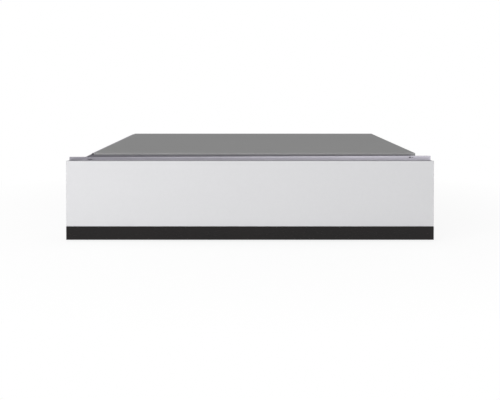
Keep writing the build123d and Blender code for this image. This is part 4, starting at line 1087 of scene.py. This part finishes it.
def background_share(tree):
    """1 for the rays that see the background: straight, mirrored or through glass."""
    path = tree.nodes.new("ShaderNodeLightPath")
    total = path.outputs["Is Camera Ray"]
    for output in ("Is Glossy Ray", "Is Transmission Ray"):
        rays = {0: total, 1: path.outputs[output]}
        total = add_node(tree, "ShaderNodeMath", inputs=rays, operation="MAXIMUM", use_clamp=True)
    return total


def add_lamp(name, place, target, width, height, power, diffuse=True, glossy=True):
    """A soft rectangular lamp."""
    lamp = bpy.data.lights.new(name, "AREA")
    lamp.shape, lamp.size, lamp.size_y, lamp.energy = "RECTANGLE", width, height, power
    holder = add_object(name, lamp)
    holder.location = place
    holder.rotation_euler = (Vector(target) - Vector(place)).to_track_quat("-Z", "Y").to_euler()
    holder.visible_diffuse, holder.visible_glossy = diffuse, glossy
    holder.visible_camera = False


class WARMING_DRAWER_OT_studio(bpy.types.Operator):
    """Set up the camera, the floor, the lamps and the white background"""

    bl_idname = "warming_drawer.studio"
    bl_label = "Studio"
    bl_options = {"REGISTER", "UNDO"}

    def execute(self, context):
        """Builds the studio."""
        scene = context.scene
        studio = scene.warming_drawer_studio
        scene.view_settings.view_transform = "Standard"

        lens = bpy.data.cameras.new("camera")
        lens.lens, lens.sensor_width, lens.shift_y = studio.camera_lens, 36.0, studio.camera_shift
        camera = add_object("camera", lens)
        camera.location = (0, -studio.camera_back, studio.camera_height)
        camera.rotation_euler = (radians(90) - studio.camera_pitch, 0, 0)
        scene.camera = camera

        world = bpy.data.worlds.new("even_light")
        world.use_nodes = True
        scene.world = world
        tree = world.node_tree
        background = tree.nodes["Background"]
        background.inputs["Color"].default_value = (1, 1, 1, 1)
        share = {"Value": background_share(tree), "To Min": studio.ambient}
        feed(tree, background.inputs["Strength"], add_node(tree, "ShaderNodeMapRange", inputs=share))

        floor_size, floor_drop = 30, 0.4 * MM
        bm = bmesh.new()
        corner = Vector((-floor_size / 2, -floor_size / 2, -floor_drop))
        add_sheet(bm, corner, X * floor_size, Y * floor_size)
        mesh = bpy.data.meshes.new("floor")
        bm.to_mesh(mesh)
        bm.free()
        floor = add_object("floor", mesh)
        mesh.materials.append(self.floor_finish())

        add_lamp("key_lamp", (-1.5, -1.7, 0.95), (0, -0.25, 0.07), 1.8, 1.4, studio.key_power, glossy=False)
        add_lamp("top_lamp", (0.0, 0.1, 2.2), (0, 0, 0), 2.0, 2.0, studio.top_power)
        add_lamp(
            "reflector", (0.95, -1.9, 0.52), (0.2, -0.25, 0.1), 1.5, 0.8, studio.gloss_power, diffuse=False
        )
        return {"FINISHED"}

    def floor_finish(self):
        """A white floor that still takes the drawer's shadow."""
        made = Finish("Floor", (0.9, 0.9, 0.9), 0.8, specular_ior_level=0.0)
        tree = made.tree
        made.tint(made.noise(made.place(), 60.0, 4.0), 0.995, 1.0)
        away = made.node("ShaderNodeVectorMath", "Value", {0: made.place((1, 1, 0))}, operation="LENGTH")
        shares = {0: background_share(tree), 1: made.remap(away, 0.85, 1.0, 0.3, 0.75)}
        share = made.node("ShaderNodeMath", inputs=shares, operation="MULTIPLY")
        glow = made.node("ShaderNodeEmission")
        mix = made.node("ShaderNodeMixShader", inputs={0: share, 1: made.shader.outputs[0], 2: glow})
        feed(tree, tree.nodes["Material Output"].inputs["Surface"], mix)
        return made.material


PIECES = (
    WARMING_DRAWER_OT_front_panel,
    WARMING_DRAWER_OT_top_cover,
    WARMING_DRAWER_OT_front_frame,
    WARMING_DRAWER_OT_case,
    WARMING_DRAWER_OT_runners,
    WARMING_DRAWER_OT_tray,
    WARMING_DRAWER_OT_air_grille,
    WARMING_DRAWER_OT_tray_base,
    WARMING_DRAWER_OT_controls,
    WARMING_DRAWER_OT_fan_and_heater,
    WARMING_DRAWER_OT_latch,
    WARMING_DRAWER_OT_supply_inlet,
    WARMING_DRAWER_OT_studio,
)


class WARMING_DRAWER_PT_panel(bpy.types.Panel):
    """Lists the drawer's settings and its operators."""

    bl_idname = "WARMING_DRAWER_PT_panel"
    bl_label = "Warming Drawer"
    bl_space_type = "VIEW_3D"
    bl_region_type = "UI"
    bl_category = "Warming Drawer"

    def draw(self, context):
        """Draws the settings and a button for each operator."""
        for group in ("warming_drawer_sizes", "warming_drawer_colours", "warming_drawer_studio"):
            settings = getattr(context.scene, group)
            box = self.layout.box()
            for key in settings.__annotations__:
                box.prop(settings, key)
        for piece in PIECES:
            self.layout.operator(piece.bl_idname)


SETTINGS = {
    "warming_drawer_sizes": WARMING_DRAWER_PG_sizes,
    "warming_drawer_colours": WARMING_DRAWER_PG_colours,
    "warming_drawer_studio": WARMING_DRAWER_PG_studio,
}
CLASSES = (*SETTINGS.values(), *PIECES, WARMING_DRAWER_PT_panel)


def register():
    """Registers the classes and their settings."""
    for item in CLASSES:
        bpy.utils.register_class(item)
    for name, group in SETTINGS.items():
        setattr(bpy.types.Scene, name, PointerProperty(type=group))


def unregister():
    """Takes the classes and their settings away again."""
    for name in SETTINGS:
        delattr(bpy.types.Scene, name)
    for item in reversed(CLASSES):
        bpy.utils.unregister_class(item)


def build_drawer():
    register()
    for piece in PIECES:
        group, name = piece.bl_idname.split(".")
        getattr(getattr(bpy.ops, group), name)()


if __name__ == "__main__":
    build_drawer()
